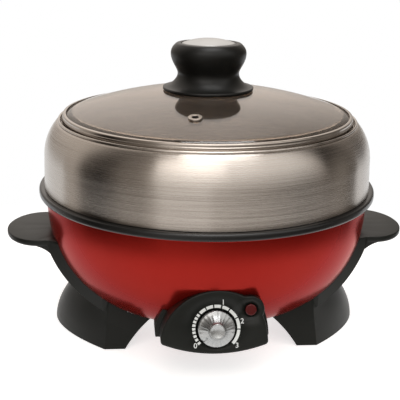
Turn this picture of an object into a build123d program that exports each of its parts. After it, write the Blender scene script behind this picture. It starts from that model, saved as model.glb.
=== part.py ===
from build123d import *
import os
from math import acos, asin, atan2, cos, degrees, pi, radians, sin, sqrt

os.makedirs("parts", exist_ok=True)

# Fits and clearances
lift_gap = 0.3  # between bodies that lift apart
seat_gap = 0.1  # between pieces that are screwed or clipped together
shaft_play = 0.05  # running fit, on the radius
screw_play = 0.05  # between a screw and the wall it bites into, on the radius

# Red housing bowl: a superellipse turned about the pot's axis
rim_radius = 137.8
rim_z = 117.0
bottom_inset = 67.8
bottom_radius = rim_radius - bottom_inset
bottom_z = 21.1
side_power = 1.65
floor_power = 2.38
bowl_wall = 0.9
rim_rise = 3.4
rim_bead = 1.0
bottom_ledge = 20.0
bottom_opening = bottom_radius - bottom_ledge

# Cooking pan that hangs in the housing by its flange
flange_overhang = 6.2
flange_radius = rim_radius + flange_overhang
flange_rounding = 2.4
flange_thickness = 2.5
lip_gap = 0.6
pan_wall = 2.0
pan_floor = 2.0
pan_side_gap = 7.0
pan_bottom_z = 46.0
pan_bottom_inset = 45.8
pan_bottom_radius = rim_radius - pan_bottom_inset
pan_side_power = 2.0
pan_floor_power = 2.6

# Steel ring that stands on the pan
ring_step = 4.6
ring_taper = 0.7
ring_side = 26.5
ring_shoulder_reach = 12.5
ring_shoulder_rise = 29.5
ring_fold = 0.6
ring_radius = flange_radius - ring_step
ring_neck_radius = ring_radius - ring_taper
ring_mouth_radius = ring_neck_radius - ring_shoulder_reach
ring_wall = 0.8
ring_spigot_gap = 0.6
mouth_bead = 1.1
lid_seat_drop = 4.5
lid_seat_width = 8.0

# Glass lid with its steel rim
lid_play = 1.8
lid_rise = 5.4
lid_rim_wall = 0.6
lid_rim_hem = 1.6
lid_roll_height = 2.6
lid_roll_step = 0.5
lid_rim_foot = 3.0
lid_rim_foot_rise = 0.8
glass_thickness = 4.0
glass_crown = 21.5
vent_inset = 38.5
vent_angle = -101.4
vent_hole = 4.2
eyelet_flange = 5.6

# Knob on the lid
knob_skirt = 38.2
knob_skirt_lip = 2.4
knob_waist = 25.9
knob_waist_share = 0.362
knob_bulge = 31.7
knob_bulge_share = 0.748
knob_top_radius = 27.0
knob_height = 38.8
knob_column = 9.0
knob_wall = 6.5
knob_screw_radius = 2.5
knob_screw_grip = 14.0
knob_screw_head = 4.6
knob_screw_head_height = 2.8
cap_radius = 22.4
cap_crown = 4.0
cap_wall = 0.8
cap_depth = 3.0
seal_thickness = 0.8
washer_thickness = 1.0

# Side mouldings: handle, strap and foot in one piece on each side
handle_reach = 35.2
handle_tip = rim_radius + handle_reach
handle_root_out = 5.2
handle_top_z = 83.5
handle_thickness = 5.5
handle_half_width = 40.0
strap_thickness = 6.5
strap_lip = 1.5
lip_width = 2.2
strap_foot_inset = 47.8
strap_foot_x = rim_radius - strap_foot_inset
strap_foot_half_width = 66.0
foot_base_z = 0.6
foot_top_z = 46.0
foot_side_inset = 4.5
foot_side = rim_radius - foot_side_inset
foot_side_lean = 27.3
foot_side_power = 1.9
foot_corner_inset = 49.0
foot_corner = rim_radius - foot_corner_inset
foot_corner_lean = 4.8
foot_toe = 76.0
foot_toe_lean = 11.0
foot_bulge_power = 1.85
foot_wall = 3.0
toe_thickness = 16.8
toe_inner = foot_corner - toe_thickness
arch_spread = 22.0
arch_inner = toe_inner - arch_spread
arch_height = 25.5
pad_radius = 4.5
pad_depth = 4.0
pad_boss_wall = 2.0
pad_boss_height = 22.0
pad_corner_inset = 3.0
pad_toe_inset = 10.0
gusset_drop = 14.0
gusset_reach = 8.0
tab_thickness = 3.0
tab_width = 20.0

# Screws: shank and head radius of the self-tapping ones in plastic and in sheet
large_shank = 2.0
large_head = 3.6
large_length = 14.0
small_shank = 1.7
small_head = 3.2
small_length = 5.0
head_height = 2.0

# Control box on the front: its plane leans back; u is to the right, v up, h out of the panel
panel_tilt = 10.4
panel_standoff = 0.1
dial_x = -2.5
dial_y = -(rim_radius + panel_standoff)
dial_z = 46.6
cover_left = 42.0
cover_right = 39.8
cover_corner_v = -13.0
cover_bottom = -19.9
cover_arch = (1.6, -15.7)
cover_arch_radius = 44.7
cover_belly_radius = 112.0
cover_side_radius = 60.0
cover_corner = 3.0
cover_notch = 6.0
cover_depth = 24.0
panel_thickness = 3.0
cover_wall = 2.2
cover_edge = 1.5
box_step = 3.6
box_bottom = -12.0
box_reach = 32.0
box_front = 2.0
window_width = 36.0
window_height = 10.0
window_v = -3.0
cover_screw_u = 12.0
cover_screw_v = -15.9
cover_screw_length = 13.5
cover_boss_wall = 1.4
box_screw_x = 28.0
box_screw_z = 40.0
box_screw_length = 12.0
box_boss_wall = 0.8
lamp_u = 26.2
lamp_v = 13.9
lamp_bump = 10.6
lamp_recess = 5.7
lens_radius = 4.3
lens_flange = 5.2
duct_reach = 40.9
duct_z = 34.6

# Dial, its spindle and the thermostat
dial_radius = 14.0
dial_height = 10.2
dial_boss = 5.6
dial_gap = 0.3
dial_recess = 15.2
dial_recess_depth = 1.2
dial_ribs = 24
dial_off_angle = -130.5
shaft_radius = 3.0
bracket_h = -5.0
bracket_thickness = 1.5
bracket_height = 14.0
bracket_screw_u = 18.0
thermostat_width = 28.0
thermostat_height = 21.0
thermostat_depth = 7.5
thermostat_drop = 1.5
capsule_radius = 3.4
capsule_depth = 4.0

# Heater under the pan
heater_radius = 75.0
heater_thickness = 8.0
element_ring = 46.0
element_radius = 3.3
element_gap = 30.0
pin_radius = 1.6
pin_low_z = 26.5
tray_z = 29.0
tray_flat = 60.0
tray_radius = 92.0
tray_rim_z = 36.0
tray_wall = 0.8
tray_notch = 40.0
standoff_ring = 62.0
standoff_radius = 4.0
standoff_foot = 5.5
sensor_radius = 2.5
sensor_length = 45.0
clip_wall = 0.8
clip_width = 10.0
clip_length = 23.0
clip_screw_x = 8.0
capillary_radius = 1.0

# Base plate, terminals and inlet
base_plate_lap = 7.0
base_plate_radius = bottom_opening + base_plate_lap
base_plate_wall = 0.9
base_screw_ring = bottom_opening + base_plate_lap / 2
vent_rings = (22.0, 32.0)
vent_width = 3.0
vent_length = 9.0
vent_count = 10
terminal_y = 16.0
terminal_pitch = 8.0
terminal_depth = 12.0
wire_radius = 1.2
wire_z = 25.0
earth_x = -42.0
fuse_radius = 2.2
fuse_length = 18.0
gland_z = 42.0
cord_bore = 3.6
gland_wall = 2.2
gland_flange = 8.0
gland_nose = 14.0

# Half-plane through the pot's axis in which turned outlines are drawn, clear of holes and screws
seam_angle = radians(60)
section_plane = Plane(
    origin=(0, 0, 0),
    x_dir=(cos(seam_angle), sin(seam_angle), 0),
    z_dir=(sin(seam_angle), -cos(seam_angle), 0),
)


def superellipse(angle, reach, drop, powers):
    """Fall of a quarter superellipse: how far out and how far down it is at an angle."""
    return reach * cos(angle) ** (2 / powers[0]), drop * sin(angle) ** (2 / powers[1])


def dome_radius(edge, crown):
    """Radius of the sphere whose cap has an edge radius and a crown."""
    return (edge ** 2 + crown ** 2) / (2 * crown)


def dome_z(radius, top, sphere, below=0.0):
    """Height of a sphere whose top is given, or of one a distance inside it, at a radius."""
    return top - sphere + sqrt((sphere - below) ** 2 - radius ** 2)


def bowl_point(angle, grow=0.0):
    """Radius and height on the bowl, grown outwards, from its rim (0) to its flat bottom (pi/2)."""
    reach = rim_radius - bottom_radius + grow
    drop = rim_z - bottom_z + grow
    out, down = superellipse(angle, reach, drop, (side_power, floor_power))
    return bottom_radius + out, rim_z - down


def bowl_angle_at_height(z, grow=0.0):
    return asin(((rim_z - z) / (rim_z - bottom_z + grow)) ** (floor_power / 2))


def bowl_angle_at_radius(radius, grow=0.0):
    return acos(((radius - bottom_radius) / (rim_radius - bottom_radius + grow)) ** (side_power / 2))


def bowl_radius(z, grow=0.0):
    return bowl_point(bowl_angle_at_height(z, grow), grow)[0]


def bowl_curve(grow=0.0, start=0.0, end=pi / 2, count=11):
    return [bowl_point(start + (end - start) * i / (count - 1), grow) for i in range(count)]


def screw(shank, length, head, head_height):
    """Pan-head screw along +Z with its head below the origin and a cross recess in it."""
    with BuildPart() as piece:
        Cylinder(shank, length, align=(Align.CENTER, Align.CENTER, Align.MIN))
        Cylinder(head, head_height, align=(Align.CENTER, Align.CENTER, Align.MAX))
        fillet(piece.edges().sort_by(Axis.Z)[0], head_height * 0.45)
        with Locations((0, 0, -head_height)):
            Box(head * 1.1, head * 0.22, head_height, mode=Mode.SUBTRACT)
            Box(head * 0.22, head * 1.1, head_height, mode=Mode.SUBTRACT)
    return piece.part


def tube(points, radii, radius):
    """Round wire or tube along straight runs joined by tangent arcs."""
    with BuildPart() as piece:
        with BuildLine() as route:
            FilletPolyline(*points, radius=radii)
        with BuildSketch(Plane(origin=route.line @ 0, z_dir=route.line % 0)):
            Circle(radius)
        sweep()
    return piece.part


# Everything inside the bowl's outside, used to trim what hugs the bowl
with BuildPart() as bowl_envelope:
    with BuildSketch(section_plane):
        with BuildLine():
            Spline(bowl_curve(seat_gap), tangents=[(0, -1), (-1, 0)])
            Line(bowl_point(pi / 2, seat_gap), (0, bottom_z - seat_gap))
            Line((0, bottom_z - seat_gap), (0, flange_radius))
            Line((0, flange_radius), (rim_radius + seat_gap, flange_radius))
            Line((rim_radius + seat_gap, flange_radius), bowl_point(0, seat_gap))
        make_face()
    revolve(axis=Axis.Z)

# Planes that several pieces share
handle_screw_z = handle_top_z - 9.0
handle_screw_y = 22.0
handle_screw_x = sqrt(bowl_radius(handle_screw_z - 3.5, -bowl_wall) ** 2 - (handle_screw_y + 3.5) ** 2)
handle_screw_planes = [
    Plane(origin=(side * handle_screw_x, y, handle_screw_z), z_dir=(side, 0, 0))
    for side in (-1, 1)
    for y in (-handle_screw_y, handle_screw_y)
]
tab_screw_x = bottom_radius - 7.0
tab_top = bottom_z - seat_gap
panel_plane = Plane(
    origin=(dial_x, dial_y, dial_z),
    x_dir=(1, 0, 0),
    z_dir=(0, -cos(radians(panel_tilt)), sin(radians(panel_tilt))),
)
gland_slope = bowl_radius(gland_z + 1) - bowl_radius(gland_z - 1)
gland_plane = Plane(
    origin=(0, bowl_radius(gland_z), gland_z),
    x_dir=(1, 0, 0),
    z_dir=(0, 2.0, -gland_slope),
)
gland_neck = cord_bore + gland_wall
box_screw_y = -sqrt(bowl_radius(box_screw_z - large_head, -bowl_wall) ** 2 - (box_screw_x + large_head) ** 2)
box_screw_planes = [
    Plane(origin=(side * box_screw_x, box_screw_y, box_screw_z), z_dir=(0, -1, 0)) for side in (-1, 1)
]
floor_plane = Plane.XY.offset(bottom_z)
standoff_spots = (standoff_ring, 3, 90)
base_screw_spots = (base_screw_ring, 4, 45)

# Housing bowl
with BuildPart() as housing_bowl:
    housing_top = rim_z + rim_rise
    with BuildSketch(section_plane):
        with BuildLine():
            Spline(bowl_curve(), tangents=[(0, -1), (-1, 0)])
            Polyline(bowl_point(pi / 2), (bottom_opening, bottom_z),
                     (bottom_opening, bottom_z + bowl_wall), bowl_point(pi / 2, -bowl_wall))
            Spline(bowl_curve(-bowl_wall), tangents=[(0, -1), (-1, 0)])
            Polyline(bowl_point(0, -bowl_wall), (rim_radius - bowl_wall, housing_top),
                     (rim_radius, housing_top), (rim_radius, rim_z))
        make_face()
        with Locations((rim_radius - rim_bead / 2, rim_z - rim_bead - seat_gap)):
            Circle(rim_bead)
    revolve(axis=Axis.Z)
    with Locations(*handle_screw_planes, *box_screw_planes):
        Cylinder(large_shank + screw_play, 20 * bowl_wall, mode=Mode.SUBTRACT)
    with Locations(*[(side * tab_screw_x, 0, bottom_z) for side in (-1, 1)]):
        Cylinder(small_shank + screw_play, 4 * bowl_wall, mode=Mode.SUBTRACT)
    with Locations(floor_plane):
        with PolarLocations(*standoff_spots):
            Cylinder(large_shank + screw_play, 4 * bowl_wall, mode=Mode.SUBTRACT)
        with PolarLocations(*base_screw_spots):
            Cylinder(small_shank + screw_play, 4 * bowl_wall, mode=Mode.SUBTRACT)
    with Locations(gland_plane):
        Cylinder(gland_neck + seat_gap, 12 * bowl_wall, mode=Mode.SUBTRACT)
    with Locations(panel_plane.offset(-cover_depth - box_front)):
        with Locations((0, window_v, 0)):
            Box(window_width, window_height, 2 * box_reach, mode=Mode.SUBTRACT)
housing_bowl.part.label = "housing_bowl"
export_step(housing_bowl.part, "parts/housing_bowl.step")

# Base plate that closes the bowl's bottom opening
with BuildPart() as base_plate:
    with Locations(floor_plane):
        Cylinder(base_plate_radius, base_plate_wall, align=(Align.CENTER, Align.CENTER, Align.MAX))
        with PolarLocations(*base_screw_spots):
            Cylinder(small_shank + screw_play, 4 * base_plate_wall, mode=Mode.SUBTRACT)
        with Locations((0, terminal_y, 0), (earth_x, 0, 0)):
            Cylinder(small_shank + screw_play, 4 * base_plate_wall, mode=Mode.SUBTRACT)
        for vent_ring in vent_rings:
            with PolarLocations(vent_ring, vent_count):
                Box(vent_width, vent_length, 4 * base_plate_wall, mode=Mode.SUBTRACT)
base_plate.part.label = "base_plate"
export_step(base_plate.part, "parts/base_plate.step")


def foot_block(inset):
    """Solid inside the foot's leaning, bulging outside, smaller by a wall."""
    levels = [foot_base_z + (foot_top_z - foot_base_z) * i / 4 for i in range(5)]
    with BuildPart() as block:
        for z in levels:
            rise = z / foot_top_z
            side = foot_side - inset - foot_side_lean * rise ** foot_side_power
            corner = foot_corner - inset / 2 - foot_corner_lean * rise
            toe = foot_toe - inset - foot_toe_lean * rise
            steps = [1 - i / 4 for i in range(9)]
            curve = [(side - (side - corner) * abs(s) ** foot_bulge_power, -s * toe) for s in steps]
            with BuildSketch(Plane.XY.offset(z)):
                with BuildLine():
                    Spline(curve)
                    Polyline(curve[-1], (arch_inner - 6, toe), (arch_inner - 6, -toe), curve[0])
                make_face()
        loft()
    return block.part


def bowl_shell(inner_grow, outer_grow, top_z, low_radius):
    """Shell round the bowl between two growths, from a height down to a radius under it."""
    rims = []
    for grow in (inner_grow, outer_grow):
        start = bowl_angle_at_height(top_z, grow)
        end = bowl_angle_at_radius(low_radius, grow)
        rims.append(bowl_curve(grow, start, end))
    with BuildPart() as shell:
        with BuildSketch(section_plane):
            with BuildLine():
                Spline(rims[0])
                Line(rims[0][-1], rims[1][-1])
                Spline(rims[1])
                Line(rims[1][0], rims[0][0])
            make_face()
        revolve(axis=Axis.Z)
    return shell.part


def strap_footprint(inset, top):
    """Prism over the strap: parallel beside the handle, spreading towards the foot."""
    shoulder = rim_radius - 4
    half = handle_half_width - inset
    foot_half = strap_foot_half_width - inset
    with BuildPart() as prism:
        with BuildSketch():
            with BuildLine():
                Polyline(
                    (handle_tip, -half), (shoulder, -half),
                    (strap_foot_x, -foot_half), (strap_foot_x - 20, -foot_half),
                    (strap_foot_x - 20, foot_half), (strap_foot_x, foot_half),
                    (shoulder, half), (handle_tip, half),
                    close=True,
                )
            make_face()
        extrude(amount=top)
    return prism.part


# Foot: a bulging wall under the strap with an arch cut through its front and back
with BuildPart() as foot:
    add(foot_block(0))
    with BuildSketch(Plane.XZ):
        with BuildLine():
            ThreePointArc(
                (toe_inner, 0),
                ((toe_inner + arch_inner) / 2 + 0.8, arch_height / 2 + 1.2),
                (arch_inner, arch_height),
            )
            Polyline(
                (arch_inner, arch_height), (arch_inner - 10, arch_height + 5),
                (arch_inner - 10, -1), (toe_inner, -1), (toe_inner, 0),
            )
        make_face()
    extrude(amount=2 * foot_toe, both=True, mode=Mode.SUBTRACT)
    add(foot_block(foot_wall), mode=Mode.SUBTRACT)

# Strap: a band that hugs the bowl, with a raised lip along its edges
with BuildPart() as strap:
    add(bowl_shell(-1.0, strap_thickness + strap_lip, handle_top_z, strap_foot_x - 4))
    add(strap_footprint(0, 2 * handle_top_z), mode=Mode.INTERSECT)
    add(bowl_shell(strap_thickness, 3 * strap_thickness, 1.1 * handle_top_z, strap_foot_x - 8)
        & strap_footprint(lip_width, 2 * handle_top_z), mode=Mode.SUBTRACT)

# Handle: a half-elliptical tongue with a flat top, blended into the strap below it
handle_root = rim_radius + handle_root_out
with BuildPart() as handle:
    with BuildSketch(Plane.XY.offset(handle_top_z - handle_thickness)):
        with BuildLine():
            edge = EllipticalCenterArc(
                (handle_root, 0), handle_tip - handle_root, handle_half_width, start_angle=-90, arc_size=180
            )
            Polyline(edge @ 1, (rim_radius - 10, handle_half_width),
                     (rim_radius - 10, -handle_half_width), edge @ 0)
        make_face()
    extrude(amount=handle_thickness)
    outer_edges = handle.edges().filter_by(GeomType.ELLIPSE)
    fillet(outer_edges.sort_by(Axis.Z)[0], 2.5)
    fillet(handle.edges().filter_by(GeomType.ELLIPSE).sort_by(Axis.Z)[-1], 1.0)

# Gusset: the hollow curve between the tongue's underside and the strap
with BuildPart() as gusset:
    gusset_low = handle_top_z - handle_thickness - gusset_drop
    gusset_out = handle_root + gusset_reach
    root = bowl_radius(gusset_low, strap_thickness)
    with BuildSketch(section_plane):
        with BuildLine():
            low_point = (root - 0.3, gusset_low)
            high_point = (gusset_out, handle_top_z - handle_thickness + 0.5)
            TangentArc(low_point, high_point, tangent=(0.42, 1))
            Polyline(high_point, (root - 8, high_point[1]), (root - 8, gusset_low), low_point)
        make_face()
    revolve(axis=Axis.Z)
    add(strap_footprint(lip_width / 2, 2 * handle_top_z), mode=Mode.INTERSECT)

# Bosses that hold the pads, kept inside the foot's outside
pad_x = foot_corner - pad_corner_inset
pad_y = foot_toe - pad_toe_inset
with BuildPart() as pad_bosses:
    with Locations(*[(pad_x, side * pad_y, foot_base_z) for side in (-1, 1)]):
        Cylinder(pad_radius + pad_boss_wall, pad_boss_height, align=(Align.CENTER, Align.CENTER, Align.MIN))
    add(foot_block(0), mode=Mode.INTERSECT)

with BuildPart() as right_moulding:
    add(foot.part)
    add(strap.part)
    add(gusset.part)
    add(handle.part)
    add(pad_bosses.part)
    with Locations((tab_screw_x - tab_width / 5, 0, tab_top - tab_thickness)):
        Box(strap_foot_x - tab_screw_x + tab_width / 2, tab_width, tab_thickness,
            align=(Align.MIN, Align.CENTER, Align.MIN))
    add(bowl_envelope.part, mode=Mode.SUBTRACT)
    with Locations(*handle_screw_planes):
        Cylinder(large_shank + screw_play, 34, mode=Mode.SUBTRACT)
    with Locations((tab_screw_x, 0, tab_top)):
        Cylinder(small_shank + screw_play, 4 * tab_thickness, mode=Mode.SUBTRACT)
    with Locations(*[(pad_x, side * pad_y, 0) for side in (-1, 1)]):
        Cylinder(pad_radius, pad_depth, align=(Align.CENTER, Align.CENTER, Align.MIN), mode=Mode.SUBTRACT)
right_moulding.part.label = "right_handle_foot"
export_step(right_moulding.part, "parts/right_handle_foot.step")

with BuildPart() as left_moulding:
    mirror(right_moulding.part, about=Plane.YZ)
left_moulding.part.label = "left_handle_foot"
export_step(left_moulding.part, "parts/left_handle_foot.step")

# Screws that hold the mouldings, and the rubber pads pressed into the feet
with BuildPart() as handle_screws:
    with Locations(*handle_screw_planes):
        add(screw(large_shank, large_length, large_head, head_height))
handle_screws.part.label = "handle_screws"
export_step(handle_screws.part, "parts/handle_screws.step")

with BuildPart() as foot_screws:
    with Locations(*[(side * tab_screw_x, 0, tab_top - tab_thickness) for side in (-1, 1)]):
        add(screw(small_shank, tab_thickness + 4.0, small_head, head_height))
foot_screws.part.label = "foot_screws"
export_step(foot_screws.part, "parts/foot_screws.step")

with BuildPart() as foot_pads:
    with Locations(*[(x * pad_x, y * pad_y, 0) for x in (-1, 1) for y in (-1, 1)]):
        Cylinder(pad_radius, pad_depth, align=(Align.CENTER, Align.CENTER, Align.MIN))
    chamfer(foot_pads.edges().group_by(Axis.Z)[0], 0.4)
foot_pads.part.label = "foot_pads"
export_step(foot_pads.part, "parts/foot_pads.step")

# Cooking pan
pan_seat_z = rim_z + rim_rise + lift_gap
pan_flange_top = pan_seat_z + flange_thickness
pan_outer = rim_radius - pan_side_gap
pan_mouth = pan_outer - pan_wall


def pan_curve(inset, floor_inset, count=9):
    """Outline of the pan's side from its flange down to its flat bottom, drawn in by a wall."""
    reach = pan_outer - pan_bottom_radius - inset
    drop = pan_seat_z - pan_bottom_z - floor_inset
    points = []
    for i in range(count):
        out, down = superellipse(pi / 2 * i / (count - 1), reach, drop, (pan_side_power, pan_floor_power))
        points.append((pan_bottom_radius + out, pan_seat_z - down))
    return points


with BuildPart() as inner_pan:
    with BuildSketch(section_plane) as pan_section:
        with BuildLine():
            outside = pan_curve(0, 0)
            inside = pan_curve(pan_wall, pan_floor)
            hook_inner = rim_radius + lip_gap
            hook_low = rim_z + lift_gap
            Spline(outside, tangents=[(0, -1), (-1, 0)])
            Polyline(outside[-1], (0, pan_bottom_z), (0, pan_bottom_z + pan_floor), inside[-1])
            Spline(inside, tangents=[(0, -1), (-1, 0)])
            Polyline(inside[0], (pan_mouth, pan_flange_top), (flange_radius, pan_flange_top),
                     (flange_radius, hook_low), (hook_inner, hook_low), (hook_inner, pan_seat_z), outside[0])
        make_face()
        rim_corners = pan_section.vertices().group_by(Axis.X)[-1]
        fillet(rim_corners, flange_rounding)
    revolve(axis=Axis.Z)
inner_pan.part.label = "inner_pan"
export_step(inner_pan.part, "parts/inner_pan.step")

# Steel ring: spigot in the pan's mouth, hem on the flange, tall side, shoulder and lid seat
ring_base = pan_flange_top + lift_gap
ring_shoulder_z = ring_base + ring_side
ring_mouth_z = ring_shoulder_z + ring_shoulder_rise
spigot_radius = pan_mouth - ring_spigot_gap
spigot_low = pan_seat_z  # the spigot ends above the housing bowl
seat_z = ring_mouth_z - lid_seat_drop
lip_inner = ring_mouth_radius - ring_wall - ring_fold
shoulder_turn = 0.79


def ring_curve(inset, count=9):
    """Side and shoulder of the ring from its bottom to its mouth, drawn in by the wall."""
    points = [(ring_radius - inset, ring_base), (ring_neck_radius - inset, ring_shoulder_z)]
    for i in range(1, count):
        turn = shoulder_turn * i / (count - 1)
        out = ring_shoulder_reach * (1 - cos(turn)) / (1 - cos(shoulder_turn))
        up = ring_shoulder_rise * sin(turn) / sin(shoulder_turn)
        points.append((ring_neck_radius - out - inset * cos(turn),
                       ring_shoulder_z + up - inset * sin(turn)))
    return points


with BuildPart() as steam_ring:
    with BuildSketch(section_plane):
        outer = ring_curve(0)
        inner = ring_curve(ring_wall)
        shoulder_tangents = [(0, 1), (-sin(shoulder_turn), cos(shoulder_turn))]
        hem_top = ring_base + ring_wall
        with BuildLine():
            Spline(outer[1:], tangents=shoulder_tangents)
            Polyline(outer[-1], (lip_inner, outer[-1][1]), (lip_inner, seat_z),
                     (lip_inner - lid_seat_width, seat_z), (lip_inner - lid_seat_width, seat_z - ring_wall),
                     (lip_inner + ring_wall, seat_z - ring_wall), (lip_inner + ring_wall, inner[-1][1]),
                     inner[-1])
            Spline(inner[1:], tangents=shoulder_tangents)
            Polyline(inner[1], (inner[0][0], hem_top), (spigot_radius - ring_wall, hem_top),
                     (spigot_radius - ring_wall, spigot_low), (spigot_radius, spigot_low),
                     (spigot_radius, ring_base), outer[0], outer[1])
        make_face()
        with Locations((ring_mouth_radius - mouth_bead / 2, ring_mouth_z)):
            Circle(mouth_bead)
    revolve(axis=Axis.Z)
steam_ring.part.label = "steam_ring"
export_step(steam_ring.part, "parts/steam_ring.step")

# Lid: steel rim crimped round a domed glass
lid_base = seat_z + lift_gap
lid_radius = lip_inner - lid_play
lid_rim_top = ring_mouth_z + lid_rise
glass_radius = lid_radius - lid_rim_wall - 1.0
glass_sphere = dome_radius(glass_radius, glass_crown)
glass_edge_top = lid_rim_top - lid_rim_wall - 0.3
glass_top = glass_edge_top + glass_crown
vent_distance = glass_radius - vent_inset


def glass_z(radius, below=0.0):
    """Height of the glass's dome, or of a surface a distance below it, at a radius."""
    return dome_z(radius, glass_top, glass_sphere, below)


vent_x = vent_distance * cos(radians(vent_angle))
vent_y = vent_distance * sin(radians(vent_angle))
vent_plane = Plane(
    origin=(vent_x, vent_y, glass_z(vent_distance)),
    z_dir=(vent_x, vent_y, sqrt(glass_sphere ** 2 - vent_distance ** 2)),
)

with BuildPart() as lid_glass:
    with BuildSketch(section_plane):
        with BuildLine():
            ThreePointArc((glass_radius, glass_edge_top),
                          (glass_radius / 2, glass_z(glass_radius / 2)), (0, glass_top))
            Line((0, glass_top), (0, glass_top - glass_thickness))
            low_edge = (glass_radius, glass_z(glass_radius, glass_thickness))
            ThreePointArc((0, glass_top - glass_thickness),
                          (glass_radius / 2, glass_z(glass_radius / 2, glass_thickness)), low_edge)
            Line(low_edge, (glass_radius, glass_edge_top))
        make_face()
    revolve(axis=Axis.Z)
    with Locations((0, 0, glass_top)):
        Cylinder(knob_screw_radius + 0.8, 4 * glass_thickness, mode=Mode.SUBTRACT)
    with Locations(vent_plane):
        Cylinder(vent_hole, 4 * glass_thickness, mode=Mode.SUBTRACT)
lid_glass.part.label = "lid_glass"
export_step(lid_glass.part, "parts/lid_glass.step")

with BuildPart() as lid_rim:
    with BuildSketch(section_plane):
        inner_lip = glass_radius - lid_rim_hem
        inner_top = glass_z(inner_lip) + seat_gap
        inner_low = glass_z(inner_lip, glass_thickness) - seat_gap
        skirt_inner = lid_radius - lid_rim_wall
        rim_low_lip = low_edge[1] - seat_gap
        foot_top = lid_base + lid_rim_foot_rise
        with BuildLine():
            Polyline(
                (lid_radius, lid_base), (lid_radius, lid_rim_top - lid_roll_height),
                (lid_radius - lid_roll_step, lid_rim_top - lid_roll_height + 0.3),
                (lid_radius - lid_roll_step, lid_rim_top), (glass_radius - 0.8, lid_rim_top + 0.35),
                (inner_lip, inner_top + lid_rim_wall), (inner_lip, inner_top),
                (glass_radius + seat_gap, glass_edge_top + seat_gap), (glass_radius + seat_gap, rim_low_lip),
                (inner_lip, inner_low), (inner_lip, inner_low - lid_rim_wall),
                (skirt_inner, rim_low_lip - 1.4), (skirt_inner, foot_top),
                (lid_radius - lid_rim_foot, foot_top), (lid_radius - lid_rim_foot, lid_base),
                close=True,
            )
        make_face()
    revolve(axis=Axis.Z)
lid_rim.part.label = "lid_rim"
export_step(lid_rim.part, "parts/lid_rim.step")

# Vent eyelet: a rolled rivet whose axis stands square to the glass
with BuildPart() as vent_eyelet:
    with Locations(vent_plane):
        rivet_low = glass_thickness + 1.1
        with Locations((0, 0, seat_gap)):
            Cylinder(eyelet_flange, 1.2, align=(Align.CENTER, Align.CENTER, Align.MIN))
        with Locations((0, 0, -rivet_low)):
            Cylinder(vent_hole - 0.4, rivet_low + 0.5, align=(Align.CENTER, Align.CENTER, Align.MIN))
        with Locations((0, 0, -glass_thickness - seat_gap)):
            Cylinder(eyelet_flange - 0.4, 1.0, align=(Align.CENTER, Align.CENTER, Align.MAX))
        Cylinder(vent_hole - 1.6, 4 * glass_thickness, mode=Mode.SUBTRACT)
vent_eyelet.part.label = "vent_eyelet"
export_step(vent_eyelet.part, "parts/vent_eyelet.step")

# Knob: skirt, waist and bulge turned in one piece, hollow under the skirt
knob_base = glass_z(knob_skirt - knob_skirt_lip) + seat_gap
knob_waist_z = knob_base + knob_waist_share * knob_height
knob_bulge_z = knob_base + knob_bulge_share * knob_height
knob_top_z = knob_base + knob_height
column_low = glass_top + seal_thickness
skirt_edge = (knob_skirt, knob_base + knob_skirt_lip)
recess_radius = cap_radius + 0.4
with BuildPart() as knob:
    with BuildSketch(section_plane):
        with BuildLine():
            Spline(
                skirt_edge, (0.5 * (knob_skirt + knob_waist) - 1.2, knob_base + 0.14 * knob_height),
                (knob_waist, knob_waist_z),
                (0.5 * (knob_waist + knob_bulge), 0.5 * (knob_waist_z + knob_bulge_z) - 0.6),
                (knob_bulge, knob_bulge_z), (knob_top_radius, knob_top_z),
            )
            Polyline(
                (knob_top_radius, knob_top_z), (recess_radius + 0.6, knob_top_z + 0.4), (recess_radius, knob_top_z),
                (recess_radius, knob_top_z - cap_depth), (0, knob_top_z - cap_depth), (0, column_low),
                (knob_column, column_low), (knob_column, knob_base + 0.25 * knob_height),
                (knob_waist - knob_wall, knob_base + 0.23 * knob_height),
                (knob_skirt - knob_wall, knob_base + 0.06 * knob_height),
                (knob_skirt - knob_skirt_lip, knob_base),
                (knob_skirt - 0.6, knob_base), (knob_skirt, knob_base + 0.8), skirt_edge,
            )
        make_face()
    revolve(axis=Axis.Z)
    with Locations((0, 0, glass_top)):
        Cylinder(knob_screw_radius + screw_play, knob_screw_grip + 2, align=(Align.CENTER, Align.CENTER, Align.MIN),
                 mode=Mode.SUBTRACT)
knob.part.label = "knob"
export_step(knob.part, "parts/knob.step")

cap_sphere = dome_radius(cap_radius, cap_crown)
cap_top = knob_top_z + cap_crown
cap_floor = knob_top_z - cap_depth + seat_gap
with BuildPart() as knob_cap:
    with BuildSketch(section_plane):
        inner = cap_radius - cap_wall
        with BuildLine():
            ThreePointArc((cap_radius, knob_top_z), (cap_radius / 2, dome_z(cap_radius / 2, cap_top, cap_sphere)),
                          (0, cap_top))
            Line((0, cap_top), (0, cap_top - cap_wall))
            ThreePointArc((0, cap_top - cap_wall), (inner / 2, dome_z(inner / 2, cap_top, cap_sphere, cap_wall)),
                          (inner, dome_z(inner, cap_top, cap_sphere, cap_wall)))
            Polyline((inner, dome_z(inner, cap_top, cap_sphere, cap_wall)), (inner, cap_floor),
                     (cap_radius, cap_floor), (cap_radius, knob_top_z))
        make_face()
    revolve(axis=Axis.Z)
knob_cap.part.label = "knob_cap"
export_step(knob_cap.part, "parts/knob_cap.step")

# Under the knob: a soft washer on the glass, one below it, a steel washer and the screw
with BuildPart() as knob_seal:
    with Locations((0, 0, glass_top)):
        Cylinder(knob_column, seal_thickness, align=(Align.CENTER, Align.CENTER, Align.MIN))
        Cylinder(knob_screw_radius + 0.3, 4 * seal_thickness, mode=Mode.SUBTRACT)
knob_seal.part.label = "knob_seal"
export_step(knob_seal.part, "parts/knob_seal.step")

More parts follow.
